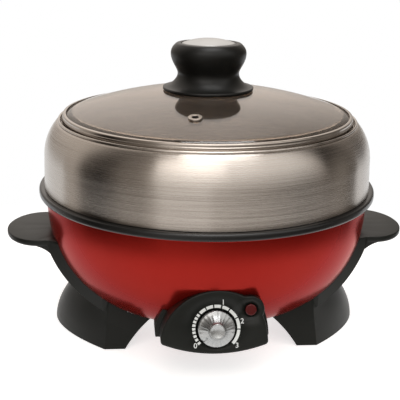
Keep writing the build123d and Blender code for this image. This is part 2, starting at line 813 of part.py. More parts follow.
under_glass = glass_z(knob_column, glass_thickness)
with BuildPart() as inner_seal:
    with Locations((0, 0, under_glass)):
        Cylinder(knob_column, seal_thickness, align=(Align.CENTER, Align.CENTER, Align.MAX))
        Cylinder(knob_screw_radius + 0.3, 4 * seal_thickness, mode=Mode.SUBTRACT)
inner_seal.part.label = "inner_seal"
export_step(inner_seal.part, "parts/inner_seal.step")

with BuildPart() as steel_washer:
    with Locations((0, 0, under_glass - seal_thickness)):
        Cylinder(knob_column - 1, washer_thickness, align=(Align.CENTER, Align.CENTER, Align.MAX))
        Cylinder(knob_screw_radius + 0.2, 4 * washer_thickness, mode=Mode.SUBTRACT)
steel_washer.part.label = "steel_washer"
export_step(steel_washer.part, "parts/steel_washer.step")

screw_seat = under_glass - seal_thickness - washer_thickness
with BuildPart() as knob_screw:
    with Locations((0, 0, screw_seat)):
        add(screw(knob_screw_radius, glass_top - screw_seat + knob_screw_grip, knob_screw_head,
                  knob_screw_head_height))
knob_screw.part.label = "knob_screw"
export_step(knob_screw.part, "parts/knob_screw.step")


def cover_face(grow):
    """Front outline of the control cover, with the bump round the lamp, grown by a distance."""
    with BuildSketch() as face:
        with Locations(cover_arch):
            Circle(cover_arch_radius + grow)
        with Locations((0, cover_bottom + cover_belly_radius)):
            Circle(cover_belly_radius + grow, mode=Mode.INTERSECT)
        with Locations((cover_right - cover_side_radius, cover_corner_v)):
            Circle(cover_side_radius + grow, mode=Mode.INTERSECT)
        with Locations((-cover_left - grow, 0)):
            Rectangle(4 * cover_left, 4 * cover_left, align=(Align.MIN, Align.CENTER), mode=Mode.INTERSECT)
        with Locations((lamp_u, lamp_v)):
            Circle(lamp_bump + grow)
        for spot in ((-cover_left, cover_bottom), (cover_right, cover_bottom)):
            fillet(face.vertices().sort_by_distance(spot)[0], cover_corner + grow)
        fillet(face.vertices().sort_by_distance((lamp_u - 4, lamp_v + lamp_bump))[0], cover_notch - grow)
    return face.sketch


def panel_point(u, v, h):
    """Point given on the panel: to the right, up, and out of it."""
    return panel_plane.from_local_coords((u, v, h))


back_of_cover = -cover_depth
bracket_face = bracket_h - bracket_thickness
cover_screw_planes = [
    Plane(origin=panel_point(side * cover_screw_u, cover_screw_v, back_of_cover - box_front),
          x_dir=(1, 0, 0), z_dir=panel_plane.z_dir)
    for side in (-1, 1)
]
bracket_screw_planes = [
    Plane(origin=panel_point(side * bracket_screw_u, 0, bracket_face), x_dir=(1, 0, 0), z_dir=panel_plane.z_dir)
    for side in (-1, 1)
]

# Control cover: a cup whose back dies out against the bowl
with BuildPart() as control_cover:
    with BuildSketch(panel_plane):
        add(cover_face(0))
    extrude(amount=back_of_cover)
    fillet(control_cover.faces().sort_by(Axis.Y)[0].edges(), cover_edge)
    with BuildSketch(panel_plane.offset(-panel_thickness)):
        add(cover_face(-cover_wall))
    extrude(amount=back_of_cover, mode=Mode.SUBTRACT)
    add(bowl_envelope.part, mode=Mode.SUBTRACT)
    with Locations(panel_plane.offset(back_of_cover)):
        with Locations(*[(side * cover_screw_u, cover_screw_v, 0) for side in (-1, 1)]):
            Cylinder(small_shank + cover_boss_wall, cover_depth - panel_thickness + 1,
                     align=(Align.CENTER, Align.CENTER, Align.MIN))
    with Locations(panel_plane.offset(bracket_h)):
        with Locations(*[(side * bracket_screw_u, 0, 0) for side in (-1, 1)]):
            Cylinder(small_head, -bracket_h - panel_thickness + 1, align=(Align.CENTER, Align.CENTER, Align.MIN))
    with Locations(panel_plane):
        Cylinder(dial_recess, 2 * dial_recess_depth, mode=Mode.SUBTRACT)
        Cylinder(shaft_radius + 0.4, 4 * panel_thickness, mode=Mode.SUBTRACT)
        with Locations((lamp_u, lamp_v, 0)):
            Cylinder(lamp_recess, 1.6, mode=Mode.SUBTRACT)
            Cylinder(lens_radius + seat_gap, 4 * panel_thickness, mode=Mode.SUBTRACT)
    with Locations(*cover_screw_planes):
        Cylinder(small_shank + screw_play, 2 * (cover_screw_length + 0.5), mode=Mode.SUBTRACT)
    with Locations(*bracket_screw_planes):
        Cylinder(small_shank + screw_play, 2 * (small_length + 0.2), mode=Mode.SUBTRACT)
control_cover.part.label = "control_cover"
export_step(control_cover.part, "parts/control_cover.step")

# Control box behind the cover: wider, flat underneath, screwed to the bowl from inside
with BuildPart() as control_box:
    with BuildSketch(panel_plane.offset(back_of_cover)):
        add(cover_face(box_step))
        with Locations((0, box_bottom)):
            Rectangle(4 * cover_left, 2 * cover_left, align=(Align.CENTER, Align.MAX), mode=Mode.SUBTRACT)
    extrude(amount=-box_reach)
    with BuildSketch(panel_plane.offset(back_of_cover - box_front)):
        add(cover_face(box_step - cover_wall))
        with Locations((0, box_bottom + cover_wall)):
            Rectangle(4 * cover_left, 2 * cover_left, align=(Align.CENTER, Align.MAX), mode=Mode.SUBTRACT)
    extrude(amount=-box_reach, mode=Mode.SUBTRACT)
    with BuildSketch(panel_plane.offset(back_of_cover - seat_gap)):
        add(cover_face(0))
    extrude(amount=-(box_front - seat_gap))
    with Locations(*box_screw_planes):
        Cylinder(large_head + box_boss_wall, box_screw_length + 2.5, align=(Align.CENTER, Align.CENTER, Align.MIN))
    add(bowl_envelope.part, mode=Mode.SUBTRACT)
    with Locations(panel_plane.offset(back_of_cover)):
        with Locations((0, window_v, 0)):
            Box(window_width, window_height, 4 * box_front, mode=Mode.SUBTRACT)
    with Locations(*box_screw_planes):
        Cylinder(large_shank + screw_play, 2 * (box_screw_length + 0.5), mode=Mode.SUBTRACT)
    with Locations(*cover_screw_planes):
        Cylinder(small_shank + screw_play, 4 * box_front, mode=Mode.SUBTRACT)
control_box.part.label = "control_box"
export_step(control_box.part, "parts/control_box.step")

with BuildPart() as box_screws:
    with Locations(*box_screw_planes):
        add(screw(large_shank, box_screw_length, large_head, head_height))
box_screws.part.label = "box_screws"
export_step(box_screws.part, "parts/box_screws.step")

with BuildPart() as cover_screws:
    with Locations(*cover_screw_planes):
        add(screw(small_shank, cover_screw_length, small_head - 0.4, head_height))
cover_screws.part.label = "cover_screws"
export_step(cover_screws.part, "parts/cover_screws.step")


def dial_body():
    """Ribbed cone with a dished boss and a pointer groove, its axis along +Z."""
    low = dial_gap - dial_recess_depth
    cone_low = (dial_radius - 3.5, 4.0)
    cone_high = (dial_radius - 6.8, 9.5)
    cone_lean = degrees(atan2(cone_low[0] - cone_high[0], cone_high[1] - cone_low[1]))
    with BuildPart() as body:
        with BuildSketch(Plane.XZ):
            with BuildLine():
                Polyline(
                    (dial_radius, low), (dial_radius, 2.2), (dial_radius - 0.8, 3.0), cone_low, cone_high,
                    (dial_boss + 0.4, dial_height - 0.6), (dial_boss, dial_height),
                    (dial_boss - 1.6, dial_height - 0.5), (0, dial_height - 0.9), (0, low), close=True,
                )
            make_face()
        revolve(axis=Axis.Z)
        middle = ((cone_low[0] + cone_high[0]) / 2 + 0.25, 0, (cone_low[1] + cone_high[1]) / 2)
        with PolarLocations(0, dial_ribs):
            with Locations(Location(middle, (0, -cone_lean, 0))):
                Cylinder(0.45, 6.0, mode=Mode.SUBTRACT)
        with Locations(Rotation(0, 0, 90 - dial_off_angle)):
            with Locations((dial_radius - 2.6, 0, 3.6)):
                Box(4.2, 1.2, 2.0, mode=Mode.SUBTRACT)
        with Locations((0, 0, low)):
            Cylinder(shaft_radius, shaft_rise - low, align=(Align.CENTER, Align.CENTER, Align.MIN),
                     mode=Mode.SUBTRACT)
    return body.part


shaft_rise = dial_height - 2.0
thermostat_back = bracket_face - thermostat_depth
shaft_end = thermostat_back + 1.0
with BuildPart() as dial:
    with Locations(panel_plane):
        add(dial_body())
dial.part.label = "dial"
export_step(dial.part, "parts/dial.step")

with BuildPart() as dial_shaft:
    with Locations(panel_plane.offset(shaft_end)):
        Cylinder(shaft_radius, shaft_rise - shaft_end - seat_gap, align=(Align.CENTER, Align.CENTER, Align.MIN))
dial_shaft.part.label = "dial_shaft"
export_step(dial_shaft.part, "parts/dial_shaft.step")

# Thermostat on its bracket behind the panel
with BuildPart() as thermostat_bracket:
    with Locations(panel_plane.offset(bracket_h)):
        Box(2 * bracket_screw_u + 8, bracket_height, bracket_thickness,
            align=(Align.CENTER, Align.CENTER, Align.MAX))
        Cylinder(shaft_radius + 0.4, 4 * bracket_thickness, mode=Mode.SUBTRACT)
        with Locations(*[(side * bracket_screw_u, 0, 0) for side in (-1, 1)]):
            Cylinder(small_shank + screw_play, 4 * bracket_thickness, mode=Mode.SUBTRACT)
thermostat_bracket.part.label = "thermostat_bracket"
export_step(thermostat_bracket.part, "parts/thermostat_bracket.step")

with BuildPart() as bracket_screws:
    with Locations(*bracket_screw_planes):
        add(screw(small_shank, small_length, small_head - 0.3, head_height))
bracket_screws.part.label = "bracket_screws"
export_step(bracket_screws.part, "parts/bracket_screws.step")

wire_u = 9.0
wire_v = -2.0
capillary_v = -5.0
with BuildPart() as thermostat:
    with Locations(panel_plane.offset(bracket_face)):
        with Locations((0, -thermostat_drop, 0)):
            Box(thermostat_width, thermostat_height, thermostat_depth,
                align=(Align.CENTER, Align.CENTER, Align.MAX))
        with Locations((0, capillary_v, -thermostat_depth)):
            Cylinder(capsule_radius, capsule_depth, align=(Align.CENTER, Align.CENTER, Align.MAX))
        with Locations(*[(side * wire_u, wire_v, -thermostat_depth) for side in (-1, 1)]):
            Box(5, 6, capsule_depth, align=(Align.CENTER, Align.CENTER, Align.MAX))
            Cylinder(wire_radius + seat_gap, 4 * capsule_depth, mode=Mode.SUBTRACT)
        with Locations((0, capillary_v, -thermostat_depth - capsule_depth)):
            Cylinder(capillary_radius + screw_play, 4.0, mode=Mode.SUBTRACT)
    with Locations(panel_plane.offset(shaft_end - seat_gap)):
        Cylinder(shaft_radius + shaft_play, thermostat_depth, align=(Align.CENTER, Align.CENTER, Align.MIN),
                 mode=Mode.SUBTRACT)
thermostat.part.label = "thermostat"
export_step(thermostat.part, "parts/thermostat.step")

# Indicator lamp: a domed lens pushed in from behind and a neon lamp after it
with BuildPart() as lamp_lens:
    with Locations(panel_plane):
        with Locations((lamp_u, lamp_v, -panel_thickness - seat_gap)):
            Cylinder(lens_flange, 1.2, align=(Align.CENTER, Align.CENTER, Align.MAX))
            Cylinder(lens_radius, panel_thickness + 0.8, align=(Align.CENTER, Align.CENTER, Align.MIN))
    fillet(lamp_lens.faces().sort_by(Axis.Y)[0].edges(), 0.7)
lamp_lens.part.label = "lamp_lens"
export_step(lamp_lens.part, "parts/lamp_lens.step")

with BuildPart() as neon_lamp:
    with Locations(panel_plane.offset(-panel_thickness - 1.2 - 2 * seat_gap)):
        with Locations((lamp_u, lamp_v, 0)):
            Cylinder(2.0, 6.4, align=(Align.CENTER, Align.CENTER, Align.MAX))
neon_lamp.part.label = "neon_lamp"
export_step(neon_lamp.part, "parts/neon_lamp.step")

# Heater plate with the tubular element in its groove
heater_top = pan_bottom_z - lift_gap
heater_low = heater_top - heater_thickness
element_z = heater_low + 0.8
standoff_screw_rise = 20.0
start_angle = radians(-90 + element_gap / 2)
element_plane = Plane(origin=(0, 0, 0), x_dir=(cos(start_angle), sin(start_angle), 0),
                      z_dir=(sin(start_angle), -cos(start_angle), 0))
pin_spots = [(element_ring * side * sin(radians(element_gap / 2)), -element_ring * cos(radians(element_gap / 2)))
             for side in (-1, 1)]
clip_spots = [(side * clip_screw_x, 0) for side in (-1, 1)]
with BuildPart() as heater_plate:
    with Locations((0, 0, heater_low)):
        Cylinder(heater_radius, heater_thickness, align=(Align.CENTER, Align.CENTER, Align.MIN))
        chamfer(heater_plate.edges().filter_by(GeomType.CIRCLE), 1.0)
        with PolarLocations(*standoff_spots):
            Cylinder(large_shank + screw_play, 12.0, mode=Mode.SUBTRACT)
        with Locations(*clip_spots):
            Cylinder(small_shank + screw_play, 10.0, mode=Mode.SUBTRACT)
    with Locations((0, 0, element_z)):
        Torus(element_ring, element_radius + seat_gap, mode=Mode.SUBTRACT)
heater_plate.part.label = "heater_plate"
export_step(heater_plate.part, "parts/heater_plate.step")

with BuildPart() as heating_element:
    with BuildSketch(element_plane):
        with Locations((element_ring, element_z)):
            Circle(element_radius)
    revolve(axis=Axis.Z, revolution_arc=360 - element_gap)
    for x, y in pin_spots:
        with Locations((x, y, element_z)):
            Sphere(element_radius)
            Cylinder(element_radius, element_z - pin_low_z - 4.5, align=(Align.CENTER, Align.CENTER, Align.MAX))
        with Locations((x, y, pin_low_z)):
            Cylinder(pin_radius, element_z - pin_low_z, align=(Align.CENTER, Align.CENTER, Align.MIN))
heating_element.part.label = "heating_element"
export_step(heating_element.part, "parts/heating_element.step")

with BuildPart() as reflector_tray:
    with BuildSketch(section_plane):
        with BuildLine():
            Polyline((0, tray_z), (tray_flat, tray_z), (tray_radius, tray_rim_z),
                     (tray_radius, tray_rim_z + tray_wall), (tray_flat, tray_z + tray_wall),
                     (0, tray_z + tray_wall), close=True)
        make_face()
    revolve(axis=Axis.Z)
    with Locations((0, 0, tray_z)):
        with PolarLocations(*standoff_spots):
            Cylinder(standoff_radius + seat_gap, 12 * tray_wall, mode=Mode.SUBTRACT)
        with Locations((0, 6 - element_ring + element_radius, 0)):
            Box(tray_notch, tray_radius, 4 * tray_rim_z, align=(Align.CENTER, Align.MAX, Align.CENTER),
                mode=Mode.SUBTRACT)
reflector_tray.part.label = "reflector_tray"
export_step(reflector_tray.part, "parts/reflector_tray.step")

floor_top = bottom_z + bowl_wall
with BuildPart() as standoffs:
    with Locations((0, 0, floor_top)):
        with PolarLocations(*standoff_spots):
            Cylinder(standoff_foot, tray_z - floor_top, align=(Align.CENTER, Align.CENTER, Align.MIN))
            Cylinder(standoff_radius, heater_low - floor_top, align=(Align.CENTER, Align.CENTER, Align.MIN))
            Cylinder(large_shank + screw_play, 4 * heater_low, mode=Mode.SUBTRACT)
standoffs.part.label = "standoffs"
export_step(standoffs.part, "parts/standoffs.step")

with BuildPart() as standoff_screws:
    with Locations(floor_plane):
        with PolarLocations(*standoff_spots):
            add(screw(large_shank, standoff_screw_rise, large_head, head_height))
standoff_screws.part.label = "standoff_screws"
export_step(standoff_screws.part, "parts/standoff_screws.step")

with BuildPart() as base_screws:
    with Locations(floor_plane.offset(-base_plate_wall)):
        with PolarLocations(*base_screw_spots):
            add(screw(small_shank, small_length, small_head, head_height))
base_screws.part.label = "base_screws"
export_step(base_screws.part, "parts/base_screws.step")

# Temperature sensor held against the plate, and its capillary to the thermostat
sensor_z = heater_low - seat_gap - sensor_radius
sensor_front = -sensor_length / 2
with BuildPart() as sensor_bulb:
    with Locations(Plane(origin=(0, sensor_front, sensor_z), z_dir=(0, 1, 0))):
        Cylinder(sensor_radius, sensor_length, align=(Align.CENTER, Align.CENTER, Align.MIN))
    fillet(sensor_bulb.edges().filter_by(GeomType.CIRCLE), 1.2)
    with Locations(Plane(origin=(0, sensor_front, sensor_z), z_dir=(0, 1, 0))):
        Cylinder(capillary_radius + screw_play, 8.0, mode=Mode.SUBTRACT)
sensor_bulb.part.label = "sensor_bulb"
export_step(sensor_bulb.part, "parts/sensor_bulb.step")

with BuildPart() as sensor_clip:
    with BuildSketch(Plane.XZ.offset(-clip_width / 2)):
        with Locations((0, sensor_z)):
            Circle(sensor_radius + seat_gap + clip_wall)
        with Locations((0, heater_low - seat_gap)):
            Rectangle(clip_length, clip_wall, align=(Align.CENTER, Align.MAX))
            Rectangle(2 * (sensor_radius + seat_gap + clip_wall), sensor_radius, align=(Align.CENTER, Align.MAX))
            Rectangle(2 * (sensor_radius + seat_gap), sensor_radius, align=(Align.CENTER, Align.MAX),
                      mode=Mode.SUBTRACT)
            Rectangle(2 * clip_length, clip_length, align=(Align.CENTER, Align.MIN), mode=Mode.SUBTRACT)
        with Locations((0, sensor_z)):
            Circle(sensor_radius + seat_gap, mode=Mode.SUBTRACT)
    extrude(amount=clip_width)
    with Locations((0, 0, heater_low)):
        with Locations(*clip_spots):
            Cylinder(small_shank + screw_play, 10.0, mode=Mode.SUBTRACT)
sensor_clip.part.label = "sensor_clip"
export_step(sensor_clip.part, "parts/sensor_clip.step")

with BuildPart() as clip_screws:
    with Locations((0, 0, heater_low - seat_gap - clip_wall)):
        with Locations(*clip_spots):
            add(screw(small_shank, small_length, small_head - 0.2, head_height))
clip_screws.part.label = "clip_screws"
export_step(clip_screws.part, "parts/clip_screws.step")

window_entry = back_of_cover - 4.0
duct_y = dial_y + duct_reach
with BuildPart() as capillary:
    add(tube([(0, sensor_front + 3.5, sensor_z), (0, sensor_front - 5, sensor_z),
              (0, -element_ring - 14, duct_z - 0.6), (-1.5, duct_y + 1, duct_z + 1.4),
              panel_point(0, capillary_v, window_entry),
              panel_point(0, capillary_v, thermostat_back - capsule_depth + 1.5)], 3.0, capillary_radius))
capillary.part.label = "capillary"
export_step(capillary.part, "parts/capillary.step")

# Terminal block on the base plate, with its screw
block_low = bottom_z + seat_gap
block_height = 7.2
with BuildPart() as terminal_block:
    with Locations((0, terminal_y, block_low)):
        Box(3.2 * terminal_pitch, terminal_depth, block_height, align=(Align.CENTER, Align.CENTER, Align.MIN))
        with Locations((0, 0, block_height)):
            with GridLocations(terminal_pitch, 1, 3, 1):
                Cylinder(1.8, 2.0, mode=Mode.SUBTRACT)
        with Locations((0, 0, 0)):
            Cylinder(small_shank + screw_play, 5.0, mode=Mode.SUBTRACT)
    with Locations(Plane(origin=(0, terminal_y - terminal_depth / 2, wire_z), x_dir=(1, 0, 0), z_dir=(0, -1, 0))):
        with GridLocations(terminal_pitch, 1, 3, 1):
            Cylinder(wire_radius + screw_play, 7.0, mode=Mode.SUBTRACT)
terminal_block.part.label = "terminal_block"
export_step(terminal_block.part, "parts/terminal_block.step")

with BuildPart() as terminal_screw:
    with Locations(Plane.XY.offset(bottom_z - base_plate_wall)):
        with Locations((0, terminal_y, 0)):
            add(screw(small_shank, 3.0, small_head, head_height))
terminal_screw.part.label = "terminal_screw"
export_step(terminal_screw.part, "parts/terminal_screw.step")

# Wires: live to the thermostat, on to the left pin, and back from the right pin through the fuse
block_front = terminal_y - 3.0
pin_front = pin_spots[0][1]
heater_end = thermostat_back - 1.0
with BuildPart() as live_wire:
    add(tube([(0, block_front, wire_z), (0, -60, wire_z), (5.5, duct_y, duct_z),
              panel_point(wire_u, wire_v, window_entry), panel_point(wire_u, wire_v, heater_end)],
             4.0, wire_radius))
live_wire.part.label = "live_wire"
export_step(live_wire.part, "parts/live_wire.step")

with BuildPart() as heater_wire:
    add(tube([(pin_spots[0][0], pin_front, pin_low_z - seat_gap), (pin_spots[0][0], pin_front, wire_z - 1.2),
              (pin_spots[0][0], -62, wire_z - 1.2), (-10.5, duct_y, duct_z),
              panel_point(-wire_u, wire_v, window_entry), panel_point(-wire_u, wire_v, heater_end)],
             1.25, wire_radius))
heater_wire.part.label = "heater_wire"
export_step(heater_wire.part, "parts/heater_wire.step")

fuse_back = -4.0
fuse_front = fuse_back - fuse_length
with BuildPart() as neutral_wire:
    add(tube([(terminal_pitch, block_front, wire_z), (terminal_pitch, 6, wire_z), (pin_spots[1][0], 2, wire_z),
              (pin_spots[1][0], fuse_back + seat_gap, wire_z)], 1.5, wire_radius))
neutral_wire.part.label = "neutral_wire"
export_step(neutral_wire.part, "parts/neutral_wire.step")

with BuildPart() as thermal_fuse:
    with Locations(Plane(origin=(pin_spots[1][0], fuse_back, wire_z), z_dir=(0, -1, 0))):
        Cylinder(fuse_radius, fuse_length, align=(Align.CENTER, Align.CENTER, Align.MIN))
    chamfer(thermal_fuse.edges().filter_by(GeomType.CIRCLE), 0.5)
thermal_fuse.part.label = "thermal_fuse"
export_step(thermal_fuse.part, "parts/thermal_fuse.step")

with BuildPart() as fuse_lead:
    add(tube([(pin_spots[1][0], fuse_front - seat_gap, wire_z), (pin_spots[1][0], pin_front, wire_z),
              (pin_spots[1][0], pin_front, pin_low_z - seat_gap)], 1.25, wire_radius))
fuse_lead.part.label = "fuse_lead"
export_step(fuse_lead.part, "parts/fuse_lead.step")

# Earth wire to a screw on the base plate
tag_top = bottom_z + seat_gap + 0.8
with BuildPart() as earth_wire:
    add(tube([(-terminal_pitch, block_front, wire_z), (-terminal_pitch, 0, wire_z), (-30, -4, wire_z),
              (earth_x + 5.5, 0, tag_top + 0.6)], 3.0, wire_radius))
    with Locations((earth_x, 0, tag_top)):
        Cylinder(5.0, 0.8, align=(Align.CENTER, Align.CENTER, Align.MAX))
        Box(8.0, 3.0, 0.8, align=(Align.MIN, Align.CENTER, Align.MAX))
        Cylinder(small_shank + screw_play, 4.0, mode=Mode.SUBTRACT)
earth_wire.part.label = "earth_wire"
export_step(earth_wire.part, "parts/earth_wire.step")

with BuildPart() as earth_screw:
    with Locations(Plane(origin=(earth_x, 0, tag_top), z_dir=(0, 0, -1))):
        add(screw(small_shank, 4.0, small_head, head_height))
earth_screw.part.label = "earth_screw"
export_step(earth_screw.part, "parts/earth_screw.step")

# Cord gland in the back of the bowl, open for a round cord
with BuildPart() as cord_gland:
    gland_back = -bowl_wall - 0.7
    with Locations(gland_plane):
        with Locations((0, 0, gland_back)):
            Cylinder(gland_neck, gland_flange - gland_back, align=(Align.CENTER, Align.CENTER, Align.MIN))
            Cylinder(gland_flange - 1, 2.0, align=(Align.CENTER, Align.CENTER, Align.MAX))
        with Locations((0, 0, seat_gap)):
            Cylinder(gland_flange, 2.5, align=(Align.CENTER, Align.CENTER, Align.MIN))
            Cone(gland_neck, cord_bore + 1.4, gland_nose, align=(Align.CENTER, Align.CENTER, Align.MIN))
        Cylinder(cord_bore, 4 * gland_nose, mode=Mode.SUBTRACT)
cord_gland.part.label = "cord_gland"
export_step(cord_gland.part, "parts/cord_gland.step")
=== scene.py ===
"""Looks of a countertop multicooker: finishes, fine detail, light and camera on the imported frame."""

from __future__ import annotations

import logging
import math
from dataclasses import dataclass
from enum import Enum

import bmesh
import bpy
from mathutils import Matrix, Vector


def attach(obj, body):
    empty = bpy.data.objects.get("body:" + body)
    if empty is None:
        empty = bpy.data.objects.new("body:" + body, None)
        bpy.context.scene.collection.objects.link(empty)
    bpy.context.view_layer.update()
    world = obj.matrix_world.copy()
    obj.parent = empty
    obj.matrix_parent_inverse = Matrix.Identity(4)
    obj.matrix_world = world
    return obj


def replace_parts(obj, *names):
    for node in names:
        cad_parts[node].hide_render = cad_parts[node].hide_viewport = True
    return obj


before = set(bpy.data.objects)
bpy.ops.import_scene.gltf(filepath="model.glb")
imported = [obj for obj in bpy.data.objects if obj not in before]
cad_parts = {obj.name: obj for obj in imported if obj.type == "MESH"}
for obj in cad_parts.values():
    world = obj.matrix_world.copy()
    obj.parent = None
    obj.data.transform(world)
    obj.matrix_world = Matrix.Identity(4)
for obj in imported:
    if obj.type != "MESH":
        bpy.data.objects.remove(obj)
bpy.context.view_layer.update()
LOG = logging.getLogger("multicooker")

# Short names for types that recur. A section is the half-section of a turned piece: the radius and
# height of each point, and where its corner is rounded, the corner's radius.
Tree = bpy.types.NodeTree
Socket = bpy.types.NodeSocket
Pair = tuple[float, float]
Triple = tuple[float, float, float]
Section = list[tuple[float, ...]]

# Sizes are in millimetres and angles in degrees, except where a docstring says otherwise.
MM = 0.001
RIM_RADIUS = 137.8
DIAL_CENTRE = (-2.5, -137.9, 46.6)
PANEL_TILT = 10.4

# Points nearer to each other than this, in metres, are one.
WELD = 1e-6


class Body(Enum):
    """Rigid bodies of the cooker, by their names in the frame."""

    BASE = "base"
    PAN = "cooking_pan"
    RING = "ring"
    LID = "lid"
    DIAL = "dial_knob"


def linear(colour: str) -> tuple[float, float, float, float]:
    """Turn an sRGB hex colour into a linear one.

    Args:
        colour: six hex digits, with or without a leading hash.

    Returns:
        Red, green, blue and an alpha of 1.
    """
    digits = colour.lstrip("#")
    parts = [int(digits[i:i + 2], 16) / 255 for i in (0, 2, 4)]
    red, green, blue = (p / 12.92 if p <= 0.04045 else ((p + 0.055) / 1.055) ** 2.4 for p in parts)
    return (red, green, blue, 1.0)


def add_node(
    tree: Tree,
    kind: str,
    settings: dict[str, object] | None = None,
    values: dict[str | int, object] | None = None,
    links: dict[str | int, Socket] | None = None,
) -> bpy.types.Node:
    """Add a node with its settings, socket values and incoming links.

    Args:
        tree: node tree that gets the node.
        kind: node type's identifier, without its leading ShaderNode.
        settings: properties of the node itself.
        values: constants for its input sockets.
        links: sockets of other nodes, by the input that they feed.

    Returns:
        The new node.
    """
    made = tree.nodes.new("ShaderNode" + kind)
    for name, value in (settings or {}).items():
        setattr(made, name, value)
    for name, value in (values or {}).items():
        made.inputs[name].default_value = value
    for name, socket in (links or {}).items():
        tree.links.new(socket, made.inputs[name])
    return made


def per_metre(size_mm: float) -> float:
    """Noise scale whose features are about this many millimetres across."""
    return 1.0 / (size_mm * MM)


def blank_tree(owner: bpy.types.Material | bpy.types.World) -> Tree:
    """Switch on the nodes of a new material or world, and clear them.

    Args:
        owner: the material or world.

    Returns:
        Its empty node tree.
    """
    owner.use_nodes = True
    owner.node_tree.nodes.clear()
    return owner.node_tree


@dataclass(frozen=True)
class Finish:
    """One finish: a principled shader with a fine bump and a slow change of colour.

    The bump is noise with the real grain's size in millimetres, or coarser where that is too fine
    to show; the tint is a second colour that comes through in soft patches.
    """

    name: str
    colour: str
    tint: str
    roughness: float
    metallic: float = 0.0
    ior: float = 1.5
    specular: float = 0.5
    coat: float = 0.0
    coat_roughness: float = 0.05
    grain_mm: float = 0.8
    grain_depth_mm: float = 0.01
    patch_mm: float = 30.0
    roughness_swing: float = 0.06

    def build(self) -> bpy.types.Material:
        """Make the material, or find it if it was made before.

        Returns:
            The material.
        """
        known = bpy.data.materials.get(self.name)
        if known is not None:
            return known
        material = bpy.data.materials.new(self.name)
        tree = blank_tree(material)
        shader = add_node(tree, "BsdfPrincipled", values=self.constants())
        add_node(tree, "OutputMaterial", links={"Surface": shader.outputs["BSDF"]})
        self.paint(tree, shader)
        return material

    def constants(self) -> dict[str, object]:
        """Values that are the same all over the surface."""
        return {
            "Base Color": linear(self.colour),
            "Roughness": self.roughness,
            "Metallic": self.metallic,
            "IOR": self.ior,
            "Specular IOR Level": self.specular,
            "Coat Weight": self.coat,
            "Coat Roughness": self.coat_roughness,
        }

    def pattern_space(self, tree: Tree) -> Socket:
        """Coordinates that the patterns use: the object's own, in metres."""
        return add_node(tree, "TexCoord").outputs["Object"]

    def paint(self, tree: Tree, shader: bpy.types.Node) -> None:
        """Draw soft patches of colour and gloss, and the grain.

        Args:
            tree: the material's node tree.
            shader: its principled shader.
        """
        space = self.pattern_space(tree)
        patches = add_node(tree, "TexNoise", links={"Vector": space},
                           values={"Scale": per_metre(self.patch_mm), "Detail": 3.0, "Roughness": 0.55})
        grain = add_node(tree, "TexNoise", links={"Vector": space},
                         values={"Scale": per_metre(self.grain_mm), "Detail": 2.0})
        self.join(tree, shader, (self.colour, self.tint), patches.outputs["Fac"], (0.0, 1.0),
                  grain.outputs["Fac"], self.grain_depth_mm)

    def join(
        self, tree: Tree, shader: bpy.types.Node, colours: tuple[str, str], pattern: Socket, spread: Pair,
        relief: Socket, depth_mm: float,
    ) -> None:
        """Join a pattern to the shader's colour and gloss, and a relief to its bump.

        Args:
            tree: the material's node tree.
            shader: its principled shader.
            colours: the colours where the pattern is low and where it is high.
            pattern: the pattern.
            spread: the pattern's values that are least and most rough.
            relief: the relief.
            depth_mm: how deep the relief is.
        """
        mix = add_node(tree, "Mix", {"data_type": "RGBA"}, links={0: pattern},
                       values={6: linear(colours[0]), 7: linear(colours[1])})
        swing = self.roughness_swing
        gloss = add_node(tree, "MapRange", links={"Value": pattern},
                         values={"From Min": spread[0], "From Max": spread[1],
                                 "To Min": self.roughness - swing, "To Max": self.roughness + swing})
        bump = add_node(tree, "Bump", links={"Height": relief},
                        values={"Strength": 1.0, "Distance": depth_mm * MM})
        tree.links.new(mix.outputs[2], shader.inputs["Base Color"])
        tree.links.new(gloss.outputs["Result"], shader.inputs["Roughness"])
        tree.links.new(bump.outputs["Normal"], shader.inputs["Normal"])


@dataclass(frozen=True)
class GlossEnamel(Finish):
    """Sprayed and stoved enamel on pressed steel: a clear, wet gloss over a very faint orange peel."""

    def constants(self) -> dict[str, object]:
        """Enamel's constants, with edges that glance red."""
        return super().constants() | {"Specular Tint": linear("DD9A94")}


